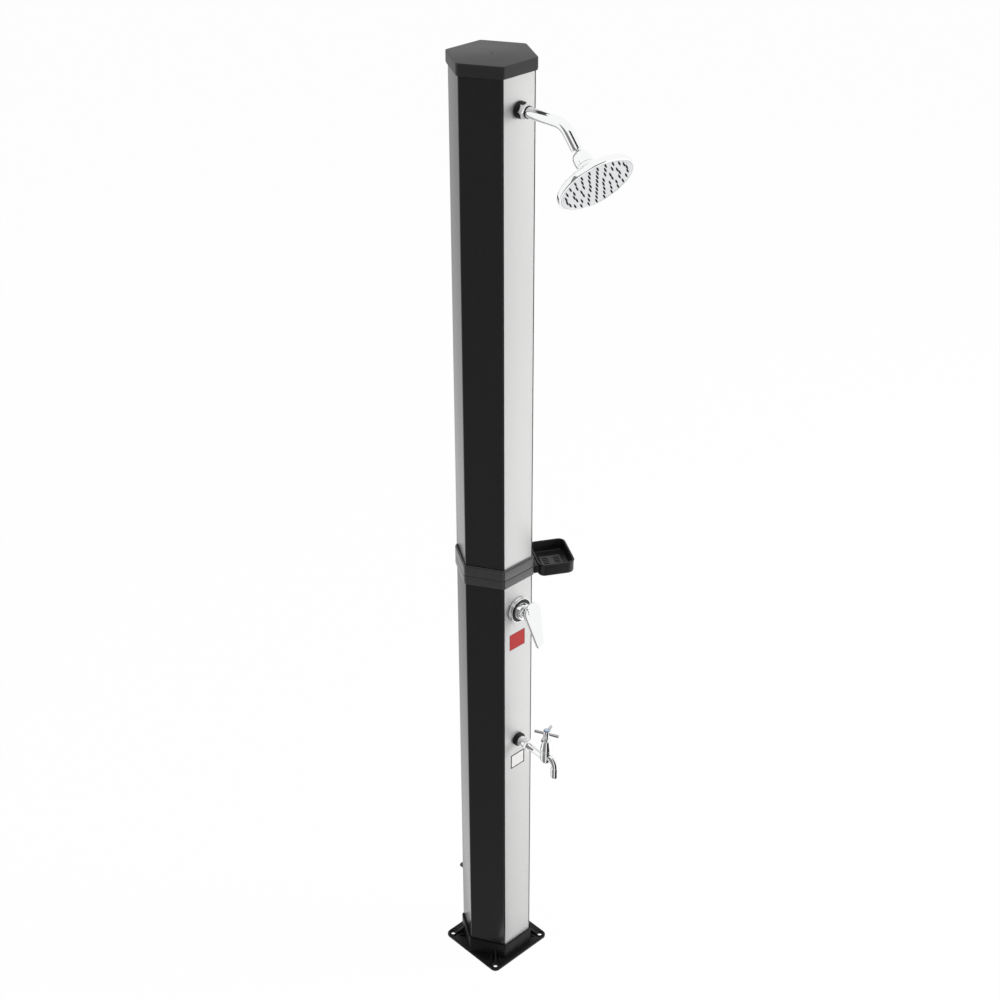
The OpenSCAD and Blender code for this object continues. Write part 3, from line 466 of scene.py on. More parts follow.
def skinned(name, points, faces, material, place, sharp):
    """A closed skin with its faces turned outwards, smooth but for its sharp edges."""
    mesh = bpy.data.meshes.new(name)
    mesh.from_pydata(points, [], faces)
    work = bmesh.new()
    work.from_mesh(mesh)
    bmesh.ops.remove_doubles(work, verts=work.verts, dist=1e-7)
    bmesh.ops.dissolve_degenerate(work, edges=work.edges, dist=1e-7)
    bmesh.ops.recalc_face_normals(work, faces=work.faces)
    work.to_mesh(mesh)
    work.free()
    mesh.materials.append(material)
    mesh.shade_smooth()
    mesh.set_sharp_from_angle(angle=radians(sharp))
    mesh.transform(place)
    return placed(name, mesh)


def spin(name, profile, material, place=Matrix.Identity(4), steps=96, sharp=35):
    """A turned piece: a closed profile of (radius, height) points swept round local Z."""
    points, faces = [], []
    count = len(profile)
    for k in range(steps):
        a = 2 * pi * k / steps
        points += [(r * cos(a), r * sin(a), z) for r, z in profile]
        here, there = k * count, (k + 1) % steps * count
        faces += [(here + j, there + j, there + (j + 1) % count, here + (j + 1) % count)
                  for j in range(count)]
    return skinned(name, points, faces, material, place, sharp)


def soft_corners(corners, steps=4):
    """A closed profile of (radius, height) corners, with an arc where a round is given too."""
    points = []
    for k, (r, z, *size) in enumerate(corners):
        if not size:
            points.append((r, z))
            continue
        here = Vector((r, z))
        before = Vector(corners[k - 1][:2]) - here
        after = Vector(corners[(k + 1) % len(corners)][:2]) - here
        cut = min(*size, before.length * 0.49, after.length * 0.49)
        p, q = here + before.normalized() * cut, here + after.normalized() * cut
        for t in (j / steps for j in range(steps + 1)):
            points.append(tuple(p * (1 - t) ** 2 + here * 2 * t * (1 - t) + q * t * t))
    return points


def turned(name, corners, material, place=Matrix.Identity(4), steps=96):
    """A turned piece whose profile has softened corners."""
    return spin(name, soft_corners(corners), material, place, steps)


gate = turned("cap_gate_mark", [
    (0, column_top - 0.0004), (0.0032, column_top - 0.0004),
    (0.0032, column_top - 0.00005, 0.0002), (0.0024, column_top - 0.00005, 0.0002),
    (0.0022, column_top - 0.00025), (0, column_top - 0.00025)], cap_plastic, steps=32)
hand_over(gate, "black_plastic")


# Foot
# A square moulded foot: a plate with four bossed anchor holes, a raised platform that curves back
# round each boss, a tall collar for the tank, and ribs out to the corners.
plate_size = 0.175
plate_corner = 0.013
plate_thick = 0.006
platform_half = 0.0845
platform_bay = 0.0135
platform_sunk, platform_rise = 0.001, 0.0015
anchor_half = 0.0745
anchor_r = 0.00525
boss_r = 0.01
boss_low, boss_top = 0.005, 0.0085
rib_end_high = 0.0025


def box_outline(width, depth, corner, steps=8):
    """Outline of a rectangle with round corners."""
    return [p for k, (sx, sy) in enumerate(((1, 1), (-1, 1), (-1, -1), (1, -1)))
            for p in arc(sx * (width / 2 - corner), sy * (depth / 2 - corner), corner,
                         k * pi / 2, (k + 1) * pi / 2, steps)]


def circle(x, y, r, steps=40):
    """Outline of a round hole or button, or of a hexagon with six steps."""
    return arc(x, y, r, 0, 2 * pi, steps)[:-1]


def four_times(quarter):
    """A quarter of an outline and its three copies round the middle."""
    return [(x * cos(turn) - y * sin(turn), x * sin(turn) + y * cos(turn))
            for turn in (pi / 2 * k for k in range(4)) for x, y in quarter]


def platform_outline(half, bay):
    """A square whose four corners are cut back in arcs round the anchor holes."""
    lean = asin((half - anchor_half) / bay)
    return four_times(arc(anchor_half, anchor_half, bay, lean - pi / 2, -pi - lean, 16))


def rib_outline(near, far, high):
    """Side of a rib: upright against the collar, hollow, and low at its end near the boss."""
    low = plate_thick + rib_end_high
    slope = [(far + (near - far) * t, low + (high - low) * t ** 1.25)
             for t in (step / 8 for step in range(1, 9))]
    return [(near, plate_thick), (far, plate_thick), (far, low)] + slope


foot_plastic = finish("foot_plastic", (0.007, 0.007, 0.0075), (0.03, 0.03, 0.03), 0.45,
                      specular=0.2, grain=1400, bump=0.00003, scuff=(50, 0.4), dust=0.06)
anchor_spots = [(sx * anchor_half, sy * anchor_half) for sx in (-1, 1) for sy in (-1, 1)]
anchor_holes = [circle(x, y, anchor_r) for x, y in anchor_spots]
plate = extruded("foot_plate", [box_outline(plate_size, plate_size, plate_corner)] + anchor_holes,
                 0, plate_thick, foot_plastic, edge=0.0012)
hand_over(plate, "black_plastic", "base_plate")
platform = extruded("foot_platform", [platform_outline(platform_half, platform_bay)],
                    plate_thick - platform_sunk, plate_thick + platform_rise, foot_plastic,
                    edge=0.0007)
hand_over(platform, "black_plastic")
foot_collar = extruded("foot_collar", [collar, socket], plate_thick, foot_collar_top, foot_plastic,
                       edge=0.001)
hand_over(foot_collar, "black_plastic")
for k, (x, y) in enumerate(anchor_spots):
    boss = turned(f"foot_boss_{k + 1}", [
        (anchor_r, boss_low), (boss_r + 0.001, boss_low), (boss_r + 0.001, 0.0062),
        (boss_r, 0.0066), (boss_r, boss_top, 0.0009), (anchor_r + 0.0026, boss_top, 0.0004),
        (anchor_r, 0.0056)], foot_plastic, moved(x, y, 0), steps=48)
    hand_over(boss, "black_plastic")
    for j, (offset, half_thick, near, far, high) in enumerate(
            ((0, 0.002, 0.078, 0.0987, 0.03), (0.01, 0.0011, 0.0778, 0.0915, 0.016),
             (-0.01, 0.0011, 0.0778, 0.0915, 0.016))):
        upright = tilted(degrees(atan2(y, x)), "Z") @ moved(0, offset, 0) @ tilted(90, "X")
        rib = extruded(f"foot_rib_{k + 1}_{j + 1}", [rib_outline(near, far, high)], -half_thick,
                       half_thick, foot_plastic, edge=0.0004, place=upright)
        hand_over(rib, "black_plastic")


# Soap dish and its rail
# A rounded black tray hung on a wide rail across the lower collar's right front face. Its rim is
# rolled outwards, and a raised slotted grid lies over the drain opening in its floor.
dish_turn = tilted(-30, "Z")
dish_mid = 0.1253
dish_low = joint_z - 0.0275
dish_deep, dish_wide = 0.078, 0.096
drain_side = 0.036
tongue_low, tongue_top = joint_z - 0.0158, joint_z - 0.001
tongue_half = [(0.0789, 0.0177), (0.0825, 0.0177), (0.0825, 0.0117), (0.0875, 0.0117)]
grid_side = 0.046
grid_low = dish_low + 0.003
grid_middle = grid_low + 0.0011
grid_top = grid_low + 0.002
slot_long, slot_pitch, slot_aside = 0.013, 0.0068, 0.0125
dish_plastic = finish("dish_plastic", (0.019, 0.019, 0.0195), (0.05, 0.05, 0.05), 0.35,
                      specular=0.28, grain=1500, bump=0.00003, scuff=(70, 0.35), dust=0.08)
grid_plastic = finish("grid_plastic", (0.085, 0.085, 0.086), (0.13, 0.13, 0.13), 0.5, grain=1500,
                      bump=0.00003, scuff=(90, 0.35))
# Near-black for the sheet under the drain grid: painted shade seen in the grid's slots.
painted_slot_shade = finish("grid_slot_painted_shade", (0.003, 0.003, 0.003), (0.01, 0.01, 0.01), 0.6,
                        specular=0.05, grain=1400)


def lofted(name, loops, material, place, closed=True, sharp=35):
    """A skin through closed loops of as many points each, with a cap on either end if open."""
    count = len(loops[0])
    points = [p for loop in loops for p in loop]
    faces = []
    for k in range(len(loops) if closed else len(loops) - 1):
        a, b = k * count, (k + 1) % len(loops) * count
        faces += [(a + j, a + (j + 1) % count, b + (j + 1) % count, b + j) for j in range(count)]
    if not closed:
        faces += [tuple(range(count)), tuple(range(len(points) - count, len(points)))]
    return skinned(name, points, faces, material, place, sharp)


def dish_loop(inset, corner, z):
    """One level of the tray: a negative inset goes out past the wall, but not towards the rail."""
    out = max(0, -inset)
    return [(x + out / 2, y, z)
            for x, y in box_outline(dish_deep - 2 * inset - out, dish_wide - 2 * inset, corner)]


def slotted_plate(name, slot_width, low, high, material):
    """A square plate with two columns of five slots."""
    slot = box_outline(slot_long, slot_width, slot_width * 0.3, steps=3)
    slots = [[(x + side * slot_aside, y + slot_pitch * k) for x, y in slot]
             for side in (-1, 1) for k in range(-2, 3)]
    return extruded(name, [box_outline(grid_side, grid_side, 0.002)] + slots, low, high, material,
                    edge=0.0002, place=dish_turn @ moved(dish_mid, 0, 0))


def softened(node, material, slot, width, body="post"):
    """A copy of a CAD node's mesh, merged, with its sharp edges rounded, that stands for it."""
    piece = placed(node + "_soft", nodes[node].data.copy())
    work = bmesh.new()
    work.from_mesh(piece.data)
    bmesh.ops.remove_doubles(work, verts=work.verts, dist=1e-6)
    bmesh.ops.dissolve_limit(work, angle_limit=radians(1), verts=work.verts, edges=work.edges)
    work.to_mesh(piece.data)
    work.free()
    piece.data.materials.clear()
    piece.data.materials.append(material)
    rounded(piece, width, segments=2)
    settle(piece)
    hand_over(piece, slot, node, body=body)


tray_loops = [dish_loop(*level) for level in (
    (0.0045, 0.01, 0), (0.0022, 0.0125, 0.0006), (0.0007, 0.0135, 0.002),
    (0.0001, 0.014, 0.0042), (0, 0.014, 0.0262), (-0.0007, 0.0145, 0.0266),
    (-0.0012, 0.0152, 0.0272), (-0.0012, 0.0152, 0.0282), (-0.0008, 0.0148, 0.0288),
    (0, 0.014, 0.029), (0.0015, 0.0125, 0.029), (0.0021, 0.012, 0.0288),
    (0.0025, 0.0115, 0.0283), (0.0028, 0.0112, 0.0075), (0.0033, 0.0108, 0.005),
    (0.0047, 0.01, 0.0036), (0.0068, 0.009, 0.003))]
tray_loops += [[(x, y, z) for x, y in box_outline(drain_side, drain_side, 0.001)]
               for z in (0.003, 0)]
tray = lofted("soap_tray", tray_loops, dish_plastic, dish_turn @ moved(dish_mid, 0, dish_low),
              sharp=50)
hand_over(tray, "black_plastic", "soap_dish", body="soap_dish")
tongue_outline = [(x, -y) for x, y in tongue_half] + tongue_half[::-1]
tongue = extruded("soap_tray_tongue", [tongue_outline], tongue_low, tongue_top, dish_plastic,
                  edge=0.0003, place=dish_turn)
hand_over(tongue, "black_plastic", body="soap_dish")
grid = slotted_plate("drain_grid_plate", 0.0036, grid_middle, grid_top, grid_plastic)
hand_over(grid, "black_plastic", "drain_grid", body="soap_dish")
# Under the grid, a near-black sheet with narrower slots: painted shade in the grid's slots.
grid_shade_sheet = slotted_plate("drain_grid_under", 0.0012, grid_low, grid_middle, painted_slot_shade)
hand_over(grid_shade_sheet, "black_plastic", body="soap_dish")
softened("dish_bracket", dish_plastic, "black_plastic", 0.0008)


# Mixer
# A single-lever mixer on the lower panel: a shallow chrome rosette round a black rubber ring, a
# fixed chrome sleeve, a turning stem and a teardrop lever on a pin through the stem.
def on_front(height):
    """Local Z points out of the front panel and local Y points up."""
    return moved(0, panel_front, height) @ tilted(90, "X")


mixer_z = 1.0
rosette_r = 0.029
rosette_seat = 0.0034
rosette_lip = 0.01
cup_top = 0.056
cup_slope_top, cup_slope = 0.0473, 0.325
pocket_half, pocket_reach = 0.006, 0.009
pocket_low, pocket_top = 0.03, 0.044
lever_rise, lever_out, lever_lean = 0.011, 0.0468, -18
lever_top_r, lever_tip_r, lever_reach = 0.0225, 0.011, 0.07
lever_place = on_front(mixer_z) @ moved(0, lever_rise, lever_out) @ tilted(lever_lean, "X")
dimple_side, dimple_first, dimple_pitch = -0.0128, 0.0135, 0.0052
chrome = finish("chrome", (0.93, 0.935, 0.94), (0.84, 0.845, 0.85), 0.05, 0.03, metallic=1.0,
                grain=250, wave=30, wave_share=0.8, bump=0.000002, scuff=(90, 0.35), dust=0.0)
rubber = finish("rubber", (0.005, 0.005, 0.005), (0.03, 0.03, 0.03), 0.35, specular=0.35,
                grain=2500, bump=0.00005, scuff=(120, 0.3), dust=0.05)
# Near-black for the lever's dimples: painted shade in the recesses.
dimple_painted_shade = finish("dimple_painted_shade", (0.006, 0.006, 0.006), (0.03, 0.03, 0.03), 0.6, specular=0.1)
rosette = turned("mixer_rosette_cup", [
    (0.0171, 0.0012), (rosette_r, 0.0012), (rosette_r, 0.0038, 0.0008), (0.0281, 0.0046, 0.0004),
    (0.0281, 0.0052, 0.0002), (0.0285, 0.0058, 0.0004), (0.0279, rosette_lip, 0.002),
    (0.0261, rosette_lip, 0.0008), (0.0258, rosette_seat), (0.0171, rosette_seat)],
    chrome, on_front(mixer_z))
hand_over(rosette, "chrome", "mixer_rosette")
trim = turned("mixer_trim_rubber", [
    (0.0202, rosette_seat), (0.0257, rosette_seat), (0.0257, 0.0088, 0.001),
    (0.0202, 0.009, 0.0006)], rubber, on_front(mixer_z))
hand_over(trim, "black_rubber", "mixer_trim_ring")
sleeve = turned("mixer_sleeve_skin", [
    (0.0166, rosette_seat), (0.02, rosette_seat), (0.02, rosette_lip, 0.003),
    (0.0174, 0.0198, 0.0012), (0.00955, 0.02), (0.00955, 0.0148), (0.0166, 0.0148)],
    chrome, on_front(mixer_z))
hand_over(sleeve, "chrome", "mixer_sleeve")
softened("mixer_stem", chrome, "chrome", 0.0004, "mixer_stem")


def cut_away(piece, cutter, sharp):
    """Takes the cutter's solid out of a piece and removes the cutter."""
    cut = piece.modifiers.new("recess", "BOOLEAN")
    cut.operation = "DIFFERENCE"
    cut.solver = "EXACT"
    cut.object = cutter
    settle(piece, sharp)
    bpy.data.objects.remove(cutter)


def teardrop(inset, z, steps=20):
    """Lever outline at one level: a wide round top, a small round tip and straight sides."""
    lean = asin((lever_top_r - lever_tip_r) / lever_reach)
    outline = arc(0, 0, lever_top_r - inset, -lean, pi + lean, steps)
    outline += arc(0, -lever_reach, lever_tip_r - inset, pi + lean, 2 * pi - lean, steps)
    return [(x, y, z) for x, y in outline]


blade_loops = [teardrop(inset, z) for inset, z in (
    (0.005, -0.0059), (0.002, -0.0057), (0.0006, -0.005), (0, -0.0042), (0, -0.0022),
    (0.0002, -0.0014), (0.0008, -0.0008), (0.0018, -0.0004), (0.0036, -0.0002),
    (0.007, -0.0001), (0.0105, 0))]
blade = lofted("lever_blade", blade_loops, chrome, lever_place, closed=False, sharp=60)
pocket = extruded("lever_pocket", [rectangle(pocket_half, -pocket_reach, pocket_reach)],
                  pocket_low, pocket_top, chrome, edge=0, place=on_front(mixer_z))
cut_away(blade, pocket, 60)
hand_over(blade, "chrome", "mixer_lever", body="mixer_lever")
cup = turned("lever_cup", [
    (0.0098, 0.031), (0.014, 0.031, 0.0012), (0.015, 0.035, 0.002), (0.015, cup_top), (0, cup_top),
    (0, 0.0435), (0.0098, 0.0435)], chrome)
for v in cup.data.vertices:
    v.co.z = min(v.co.z, cup_slope_top - cup_slope * v.co.y)
cup.data.transform(on_front(mixer_z))
hand_over(cup, "chrome", body="mixer_lever")
# Three dark discs where the lever's dimples are: painted shade of the recesses.
for k in range(3):
    size = 0.0017 - 0.0002 * k
    dimple = turned(f"lever_dimple_{k + 1}", [
        (0, -0.001), (size, -0.001), (size, 0.00008, 0.0002), (size / 2, 0.0001), (0, -0.0001)],
        dimple_painted_shade, lever_place @ moved(dimple_side, dimple_first - dimple_pitch * k, 0), steps=20)
    hand_over(dimple, "chrome", body="mixer_lever")


# Shower arm
# A bent chrome tube through the upper panel, with a black ribbed rubber ring against the panel and
# a chrome hexagon nut in front of it.
arm_z = column_top - 0.087
arm_r = 0.011
arm_inside = 0.0136
arm_run = 0.0934
arm_tail = 0.0297
bend_r = 0.04
bend = 50
ridge_high = 0.0016


def swept(name, path, radii, material, steps=40):
    """A round tube along a path in the vertical plane x = 0, with a radius at each point."""
    loops = []
    side = Vector((1, 0, 0))
    for k, (p, radius) in enumerate(zip(path, radii)):
        ahead = Vector(path[min(k + 1, len(path) - 1)]) - Vector(path[max(k - 1, 0)])
        over = ahead.normalized().cross(side)
        loops.append([Vector(p) + radius * (cos(a) * side + sin(a) * over)
                      for a in (2 * pi * j / steps for j in range(steps))])
    return lofted(name, loops, material, Matrix.Identity(4), closed=False, sharp=60)


def rubber_ring(name, node, outer, inner, height, high=0.009, ridges=3):
    """A rubber wall ring with round ridges, one behind the other."""
    valley = outer - ridge_high
    profile = [(inner, 0), (valley, 0)]
    for k in range(ridges):
        profile += [(valley + ridge_high * sin(pi * t), high * (k + t) / ridges)
                    for t in (j / 8 for j in range(1, 8))]
    profile += [(valley, high), (inner, high)]
    ring = spin(name, profile, rubber, on_front(height), sharp=60)
    hand_over(ring, "black_rubber", node)


arm_path = [(0, panel_front + arm_inside * (1 - k / 2), arm_z) for k in range(2)]
arm_path += [(0, panel_front - arm_run * k / 8, arm_z) for k in range(9)]
arm_path += [(0, y, z) for y, z in arc(panel_front - arm_run, arm_z - bend_r, bend_r, pi / 2,
                                       pi / 2 + radians(bend), 16)[1:]]
elbow = Vector(arm_path[-1])
down = tilted(bend, "X") @ Vector((0, -1, 0))
arm_path += [tuple(elbow + down * arm_tail * k / 4) for k in range(1, 5)]
arm = swept("arm_tube", arm_path, [arm_r] * len(arm_path), chrome)
hand_over(arm, "chrome", "shower_arm")
seam = turned("arm_seam_ring", [
    (arm_r, 0.0228), (0.0122, 0.0228, 0.0003), (0.0122, 0.0252, 0.0003), (arm_r, 0.0252)],
    rubber, on_front(arm_z))
hand_over(seam, "black_rubber")
softened("arm_nut", chrome, "chrome", 0.0006)
rubber_ring("arm_rubber_ring", "arm_ring", 0.016, 0.0111, arm_z)


# Shower head
# A round chrome head on a ball joint: a flared collar nut, a shallow bell with a thick rim, and a
# pale face plate inside a smooth border, with rings of soft black nozzles.
ball_reach = 0.0477
ball = moved(*(elbow + down * ball_reach))
head_lean, head_turn = 127, -8
head_place = ball @ tilted(head_lean, "X") @ tilted(head_turn, "Y")
nut_r = 0.017
bell_r = 0.0743
face_back, face_front = 0.0569, 0.0594
face_metal = finish("face_metal", (0.74, 0.75, 0.76), (0.6, 0.6, 0.6), 0.14, 0.05, metallic=1.0,
                    grain=600, wave=40, wave_share=0.5, bump=0.000004, scuff=(70, 0.3), dust=0.0)


def flowing(knots, steps=6):
    """A smooth curve through (radius, height) knots."""
    points = []
    for k in range(len(knots) - 1):
        before, p, q, after = (Vector(knots[min(max(k + d, 0), len(knots) - 1)])
                               for d in (-1, 0, 1, 2))
        for t in (j / steps for j in range(steps)):
            points.append(tuple(0.5 * (2 * p + (q - before) * t
                                       + (2 * before - 5 * p + 4 * q - after) * t ** 2
                                       + (3 * p - before - 3 * q + after) * t ** 3)))
    return points + [knots[-1]]


def nozzle_field():
    """Geometry Nodes: one soft nozzle in the middle and rings of ever more round it."""
    tree, start, end = new_group(
        "nozzle field", "GeometryNodeTree",
        [("Nozzle", "Geometry"), ("Ring Step", "Float"), ("Count Step", "Int"),
         ("Finish", "Material")],
        [("Field", "Geometry")])
    join, put, middle = add(tree, "Geometry", "JoinGeometry", "InstanceOnPoints", "MeshLine")
    for k in range(1, 5):
        ring, = add(tree, "Geometry", "MeshCircle")
        count, radius = add(tree, "Shader", "Math", "Math")
        count.operation = radius.operation = "MULTIPLY"
        preset(count, {1: k})
        preset(radius, {1: k})
        wire(tree, (start, "Count Step", count, 0), (start, "Ring Step", radius, 0),
             (count, 0, ring, "Vertices"), (radius, 0, ring, "Radius"), (ring, "Mesh", join, 0))
    preset(middle, {"Count": 1})
    wire(tree, (middle, "Mesh", join, 0), (join, 0, put, "Points"),
         (start, "Nozzle", put, "Instance"))
    return ended(tree, put, start, end)


shank_profile = flowing([
    (0.0026, 0.0091), (0.006, 0.0074), (0.0088, 0.0036), (0.0095, 0), (0.0089, -0.0034),
    (0.0066, -0.0068), (0.0048, -0.0084), (0.0046, -0.012), (0.0046, -0.0146)])
shank_profile += soft_corners([
    (0.0104, -0.0148, 0.0006), (0.0106, -0.018, 0.0004), (0.0026, -0.018)])
shank = spin("ball_and_shank", shank_profile, chrome, ball @ tilted(90 + bend, "X"), steps=64)
hand_over(shank, "chrome", "ball_nipple")
nut_profile = flowing([
    (0.0098, -0.0094), (0.0118, -0.0091), (0.014, -0.0068), (0.0158, -0.0028), (0.0166, 0.0014),
    (0.0169, 0.006), (nut_r, 0.012)])
nut_profile += soft_corners([
    (nut_r, 0.0158, 0.0005), (0.0122, 0.0158), (0.0122, -0.0036), (0.0099, -0.005)])
nut = spin("head_collar_nut", nut_profile, chrome, head_place)
hand_over(nut, "chrome", "head_nut", body="shower_head")
bell_profile = flowing([
    (0.0168, 0.0162), (0.017, 0.019), (0.0186, 0.0216), (0.0282, 0.0262), (0.0461, 0.0332),
    (0.0609, 0.0406), (0.069, 0.0455), (0.0728, 0.0487)])
bell_profile += soft_corners([
    (bell_r, 0.05, 0.0016), (bell_r, 0.0594, 0.0016), (0.07, 0.06, 0.001), (0.0698, 0.056),
    (0.066, 0.054), (0.06, 0.046), (0.0282, 0.031), (0.01, 0.023), (0.008, 0.0162)])
bell = spin("head_bell", bell_profile, chrome, head_place, steps=128, sharp=40)
hand_over(bell, "chrome", "head_shell", body="shower_head")
face = turned("head_face_plate", [
    (0, face_back), (0.0697, face_back), (0.0697, 0.0598, 0.0006), (0.0662, 0.0598, 0.0008),
    (0.0655, face_front, 0.0004), (0, face_front)], face_metal, head_place, steps=128)
hand_over(face, "chrome", "face_plate", body="shower_head")
nozzle_profile = soft_corners([
    (0, -0.001), (0.0021, -0.001), (0.002, 0.0003), (0.0016, 0.0007), (0.0012, 0.0038, 0.0003),
    (0.0006, 0.0038), (0.0005, 0.003), (0, 0.003)], 1)
nozzles = spin("head_nozzles", nozzle_profile, rubber, steps=14)
run_nodes(nozzles, "field", nozzle_field(), {"Ring Step": 0.015, "Count Step": 6, "Finish": rubber})
settle(nozzles, 45)
nozzles.data.transform(head_place @ moved(0, 0, face_front))
hand_over(nozzles, "black_rubber", "nozzle_mat", body="shower_head")


# Foot tap
# A garden tap low on the panel: rubber wall ring, hexagon, sloping neck, round barrel and curved
# spout in one chromed casting, a tapered bonnet, a gland nut and a four-armed handle.
tap_z = 0.652
tap_y = panel_front - 0.09
tap_place = moved(0, tap_y, tap_z)
tap_hex_r = 0.0145
tap_hex_low, tap_hex_top = 0.031, 0.0385
neck_y = panel_front - 0.0375
neck_drop = 0.005
spout_r = 0.0082
spout_bend = 0.02
spout_rise, spout_reach, spout_drop = 0.006, 0.0265, 0.03
spout_root_back, spout_root_rise, spout_end_r = 0.004, 0.0058, 0.008
barrel_r = 0.014
barrel_top = 0.016
bore_r = 0.00405
handle_z = 0.064
handle_turn = 24
index_r, petal_deep = 0.0064, 0.0005
index_low, index_top = 0.0718, 0.0738
button_r, button_low, button_top = 0.0045, 0.0736, 0.0742
# A darker copy of the chrome for the handle arms: painted dark reflection.
chrome_painted_dark = finish("chrome_painted_dark", (0.55, 0.555, 0.56), (0.45, 0.45, 0.455), 0.08, 0.03,
                     metallic=1.0, grain=250, bump=0.000002, scuff=(90, 0.35), dust=0.0)
index_plastic = finish("index_plastic", (0.1, 0.17, 0.29), (0.2, 0.28, 0.38), 0.25, grain=800,
                       scuff=(200, 0.4))
index_pale = finish("index_pale", (0.55, 0.64, 0.74), (0.65, 0.72, 0.8), 0.3, grain=800,
                    scuff=(200, 0.4))
rubber_ring("tap_rubber_ring", "tap_ring", 0.0156, 0.0103, tap_z)
tap_shank = turned("tap_shank", [
    (0, -0.0136), (0.0102, -0.0136), (0.0102, 0.009), (0.0112, 0.0092, 0.0003),
    (0.0112, 0.015, 0.0005), (0.0104, 0.0156), (0.0102, 0.0312), (0, 0.0312)],
    chrome, on_front(tap_z), steps=64)
tap_hex = extruded("tap_hexagon", [circle(0, 0, tap_hex_r, 6)], tap_hex_low, tap_hex_top, chrome,
                   edge=0.0008, place=on_front(tap_z))
hand_over(tap_hex, "chrome")
hand_over(tap_shank, "chrome", "tap_body")
neck_path = [(0, neck_y + (tap_y - neck_y) * k / 6, tap_z - neck_drop * k / 6) for k in range(7)]
neck = swept("tap_neck", neck_path, [0.0098, 0.0086, 0.0078, 0.0076, 0.0078, 0.0086, 0.0096],
             chrome)
barrel_profile = flowing([
    (0, -0.016), (0.005, -0.015), (0.0096, -0.012), (0.0128, -0.0075), (0.0138, -0.003),
    (barrel_r, 0.002)]) + soft_corners([(barrel_r, barrel_top, 0.0006), (0, barrel_top)])
barrel = spin("tap_barrel", barrel_profile, chrome, tap_place, steps=64)
spout_path = [(0, tap_y + spout_root_back, tap_z + spout_root_rise)]
spout_path += [(0, y, z) for y, z in arc(tap_y - spout_reach + spout_bend,
                                         tap_z + spout_rise - spout_bend, spout_bend,
                                         pi / 2, pi, 16)]
spout_path.append((0, tap_y - spout_reach, tap_z - spout_drop))
spout = swept("tap_spout", spout_path, [spout_r] * 18 + [spout_end_r], chrome)
bpy.ops.object.select_all(action="DESELECT")
for part in (neck, barrel, spout):
    part.data.materials.clear()
    part.select_set(True)
bpy.context.view_layer.objects.active = neck
bpy.ops.object.join()
neck.name = "tap_casting"
remesh = neck.modifiers.new("one casting", "REMESH")
remesh.mode = "VOXEL"
remesh.voxel_size = 0.0006
soften = neck.modifiers.new("soft joins", "SMOOTH")
soften.iterations = 8
soften.factor = 0.5
settle(neck, 80)
neck.data.materials.clear()
neck.data.materials.append(chrome)
hand_over(neck, "chrome")
outlet = turned("tap_outlet_collar", [
    (0.0062, -0.039), (0.0092, -0.039, 0.0005), (0.0096, -0.037, 0.0005), (0.0096, -0.029, 0.0004),
    (0.0091, -0.0284), (0.0091, -0.0276), (0.0096, -0.027, 0.0004), (0.0096, -0.0165, 0.0012),
    (0.0084, -0.0145, 0.0004), (0, -0.0145), (0, -0.027), (0.0062, -0.027)],
    chrome, tap_place @ moved(0, -spout_reach, 0), steps=64)
hand_over(outlet, "chrome")
bonnet = turned("tap_bonnet_skin", [
    (bore_r, 0.0159), (0.0124, 0.0159), (0.0124, 0.0172), (0.0139, 0.0176, 0.0003),
    (0.0139, 0.0212, 0.0004), (0.0122, 0.0216), (0.0122, 0.0228), (0.0138, 0.0232, 0.0003),
    (0.0136, 0.0254, 0.0008), (0.0118, 0.033, 0.004), (0.0101, 0.0425, 0.001),
    (0.0094, 0.045, 0.0004), (bore_r, 0.045)], chrome, tap_place, steps=64)
hand_over(bonnet, "chrome", "tap_bonnet")
softened("tap_gland_nut", chrome, "chrome", 0.0005)
hub = turned("handle_hub", [
    (0.0041, 0.055), (0.007, 0.055, 0.0005), (0.0075, 0.058, 0.0008), (0.0075, 0.0702, 0.001),
    (0.0068, 0.072, 0.0004), (0, 0.072), (0, 0.066), (0.0041, 0.066)], chrome, tap_place, steps=64)
hand_over(hub, "chrome", "tap_handle", body="tap_spindle")
throat = turned("handle_throat", [
    (bore_r, 0.0514), (0.0052, 0.0514, 0.0003), (0.0052, 0.0555), (bore_r, 0.0555)],
    chrome, tap_place, steps=48)
hand_over(throat, "chrome", body="tap_spindle")
# The handle arms take the darker chrome copy, which paints a dark reflection.
for k in range(4):
    along = tap_place @ moved(0, 0, handle_z) @ tilted(handle_turn + 90 * k, "Z") @ tilted(90, "Y")
    bar = turned(f"handle_arm_{k + 1}", [
        (0, 0.005), (0.0034, 0.005), (0.003, 0.01, 0.002), (0.0034, 0.017, 0.002),
        (0.0035, 0.0272, 0.0012), (0.0022, 0.0282, 0.0006), (0, 0.0282)],
        chrome_painted_dark, along, steps=32)
    hand_over(bar, "chrome", body="tap_spindle")
petals = []
for a in (2 * pi * k / 96 for k in range(96)):
    r = index_r + petal_deep * cos(6 * a)
    petals.append((r * cos(a), r * sin(a)))
index = extruded("handle_index", [petals], index_low, index_top, index_plastic, place=tap_place)
hand_over(index, "blue_index", "tap_index", body="tap_spindle")
button = extruded("handle_index_button", [circle(0, 0, button_r)], button_low, button_top,
                  index_pale, edge=0.0003, place=tap_place)
hand_over(button, "blue_index", body="tap_spindle")


# Hose inlet and screws at the back
# A dark nickel hose nipple low at the back, and pairs of pan-head screws with a cross recess that
# hold the foot, the collars and the cap to the tanks.
def on_back(height):
    """Local Z points straight back and local Y points down."""
    return moved(0, tank_flat / 2, height) @ tilted(-90, "X")


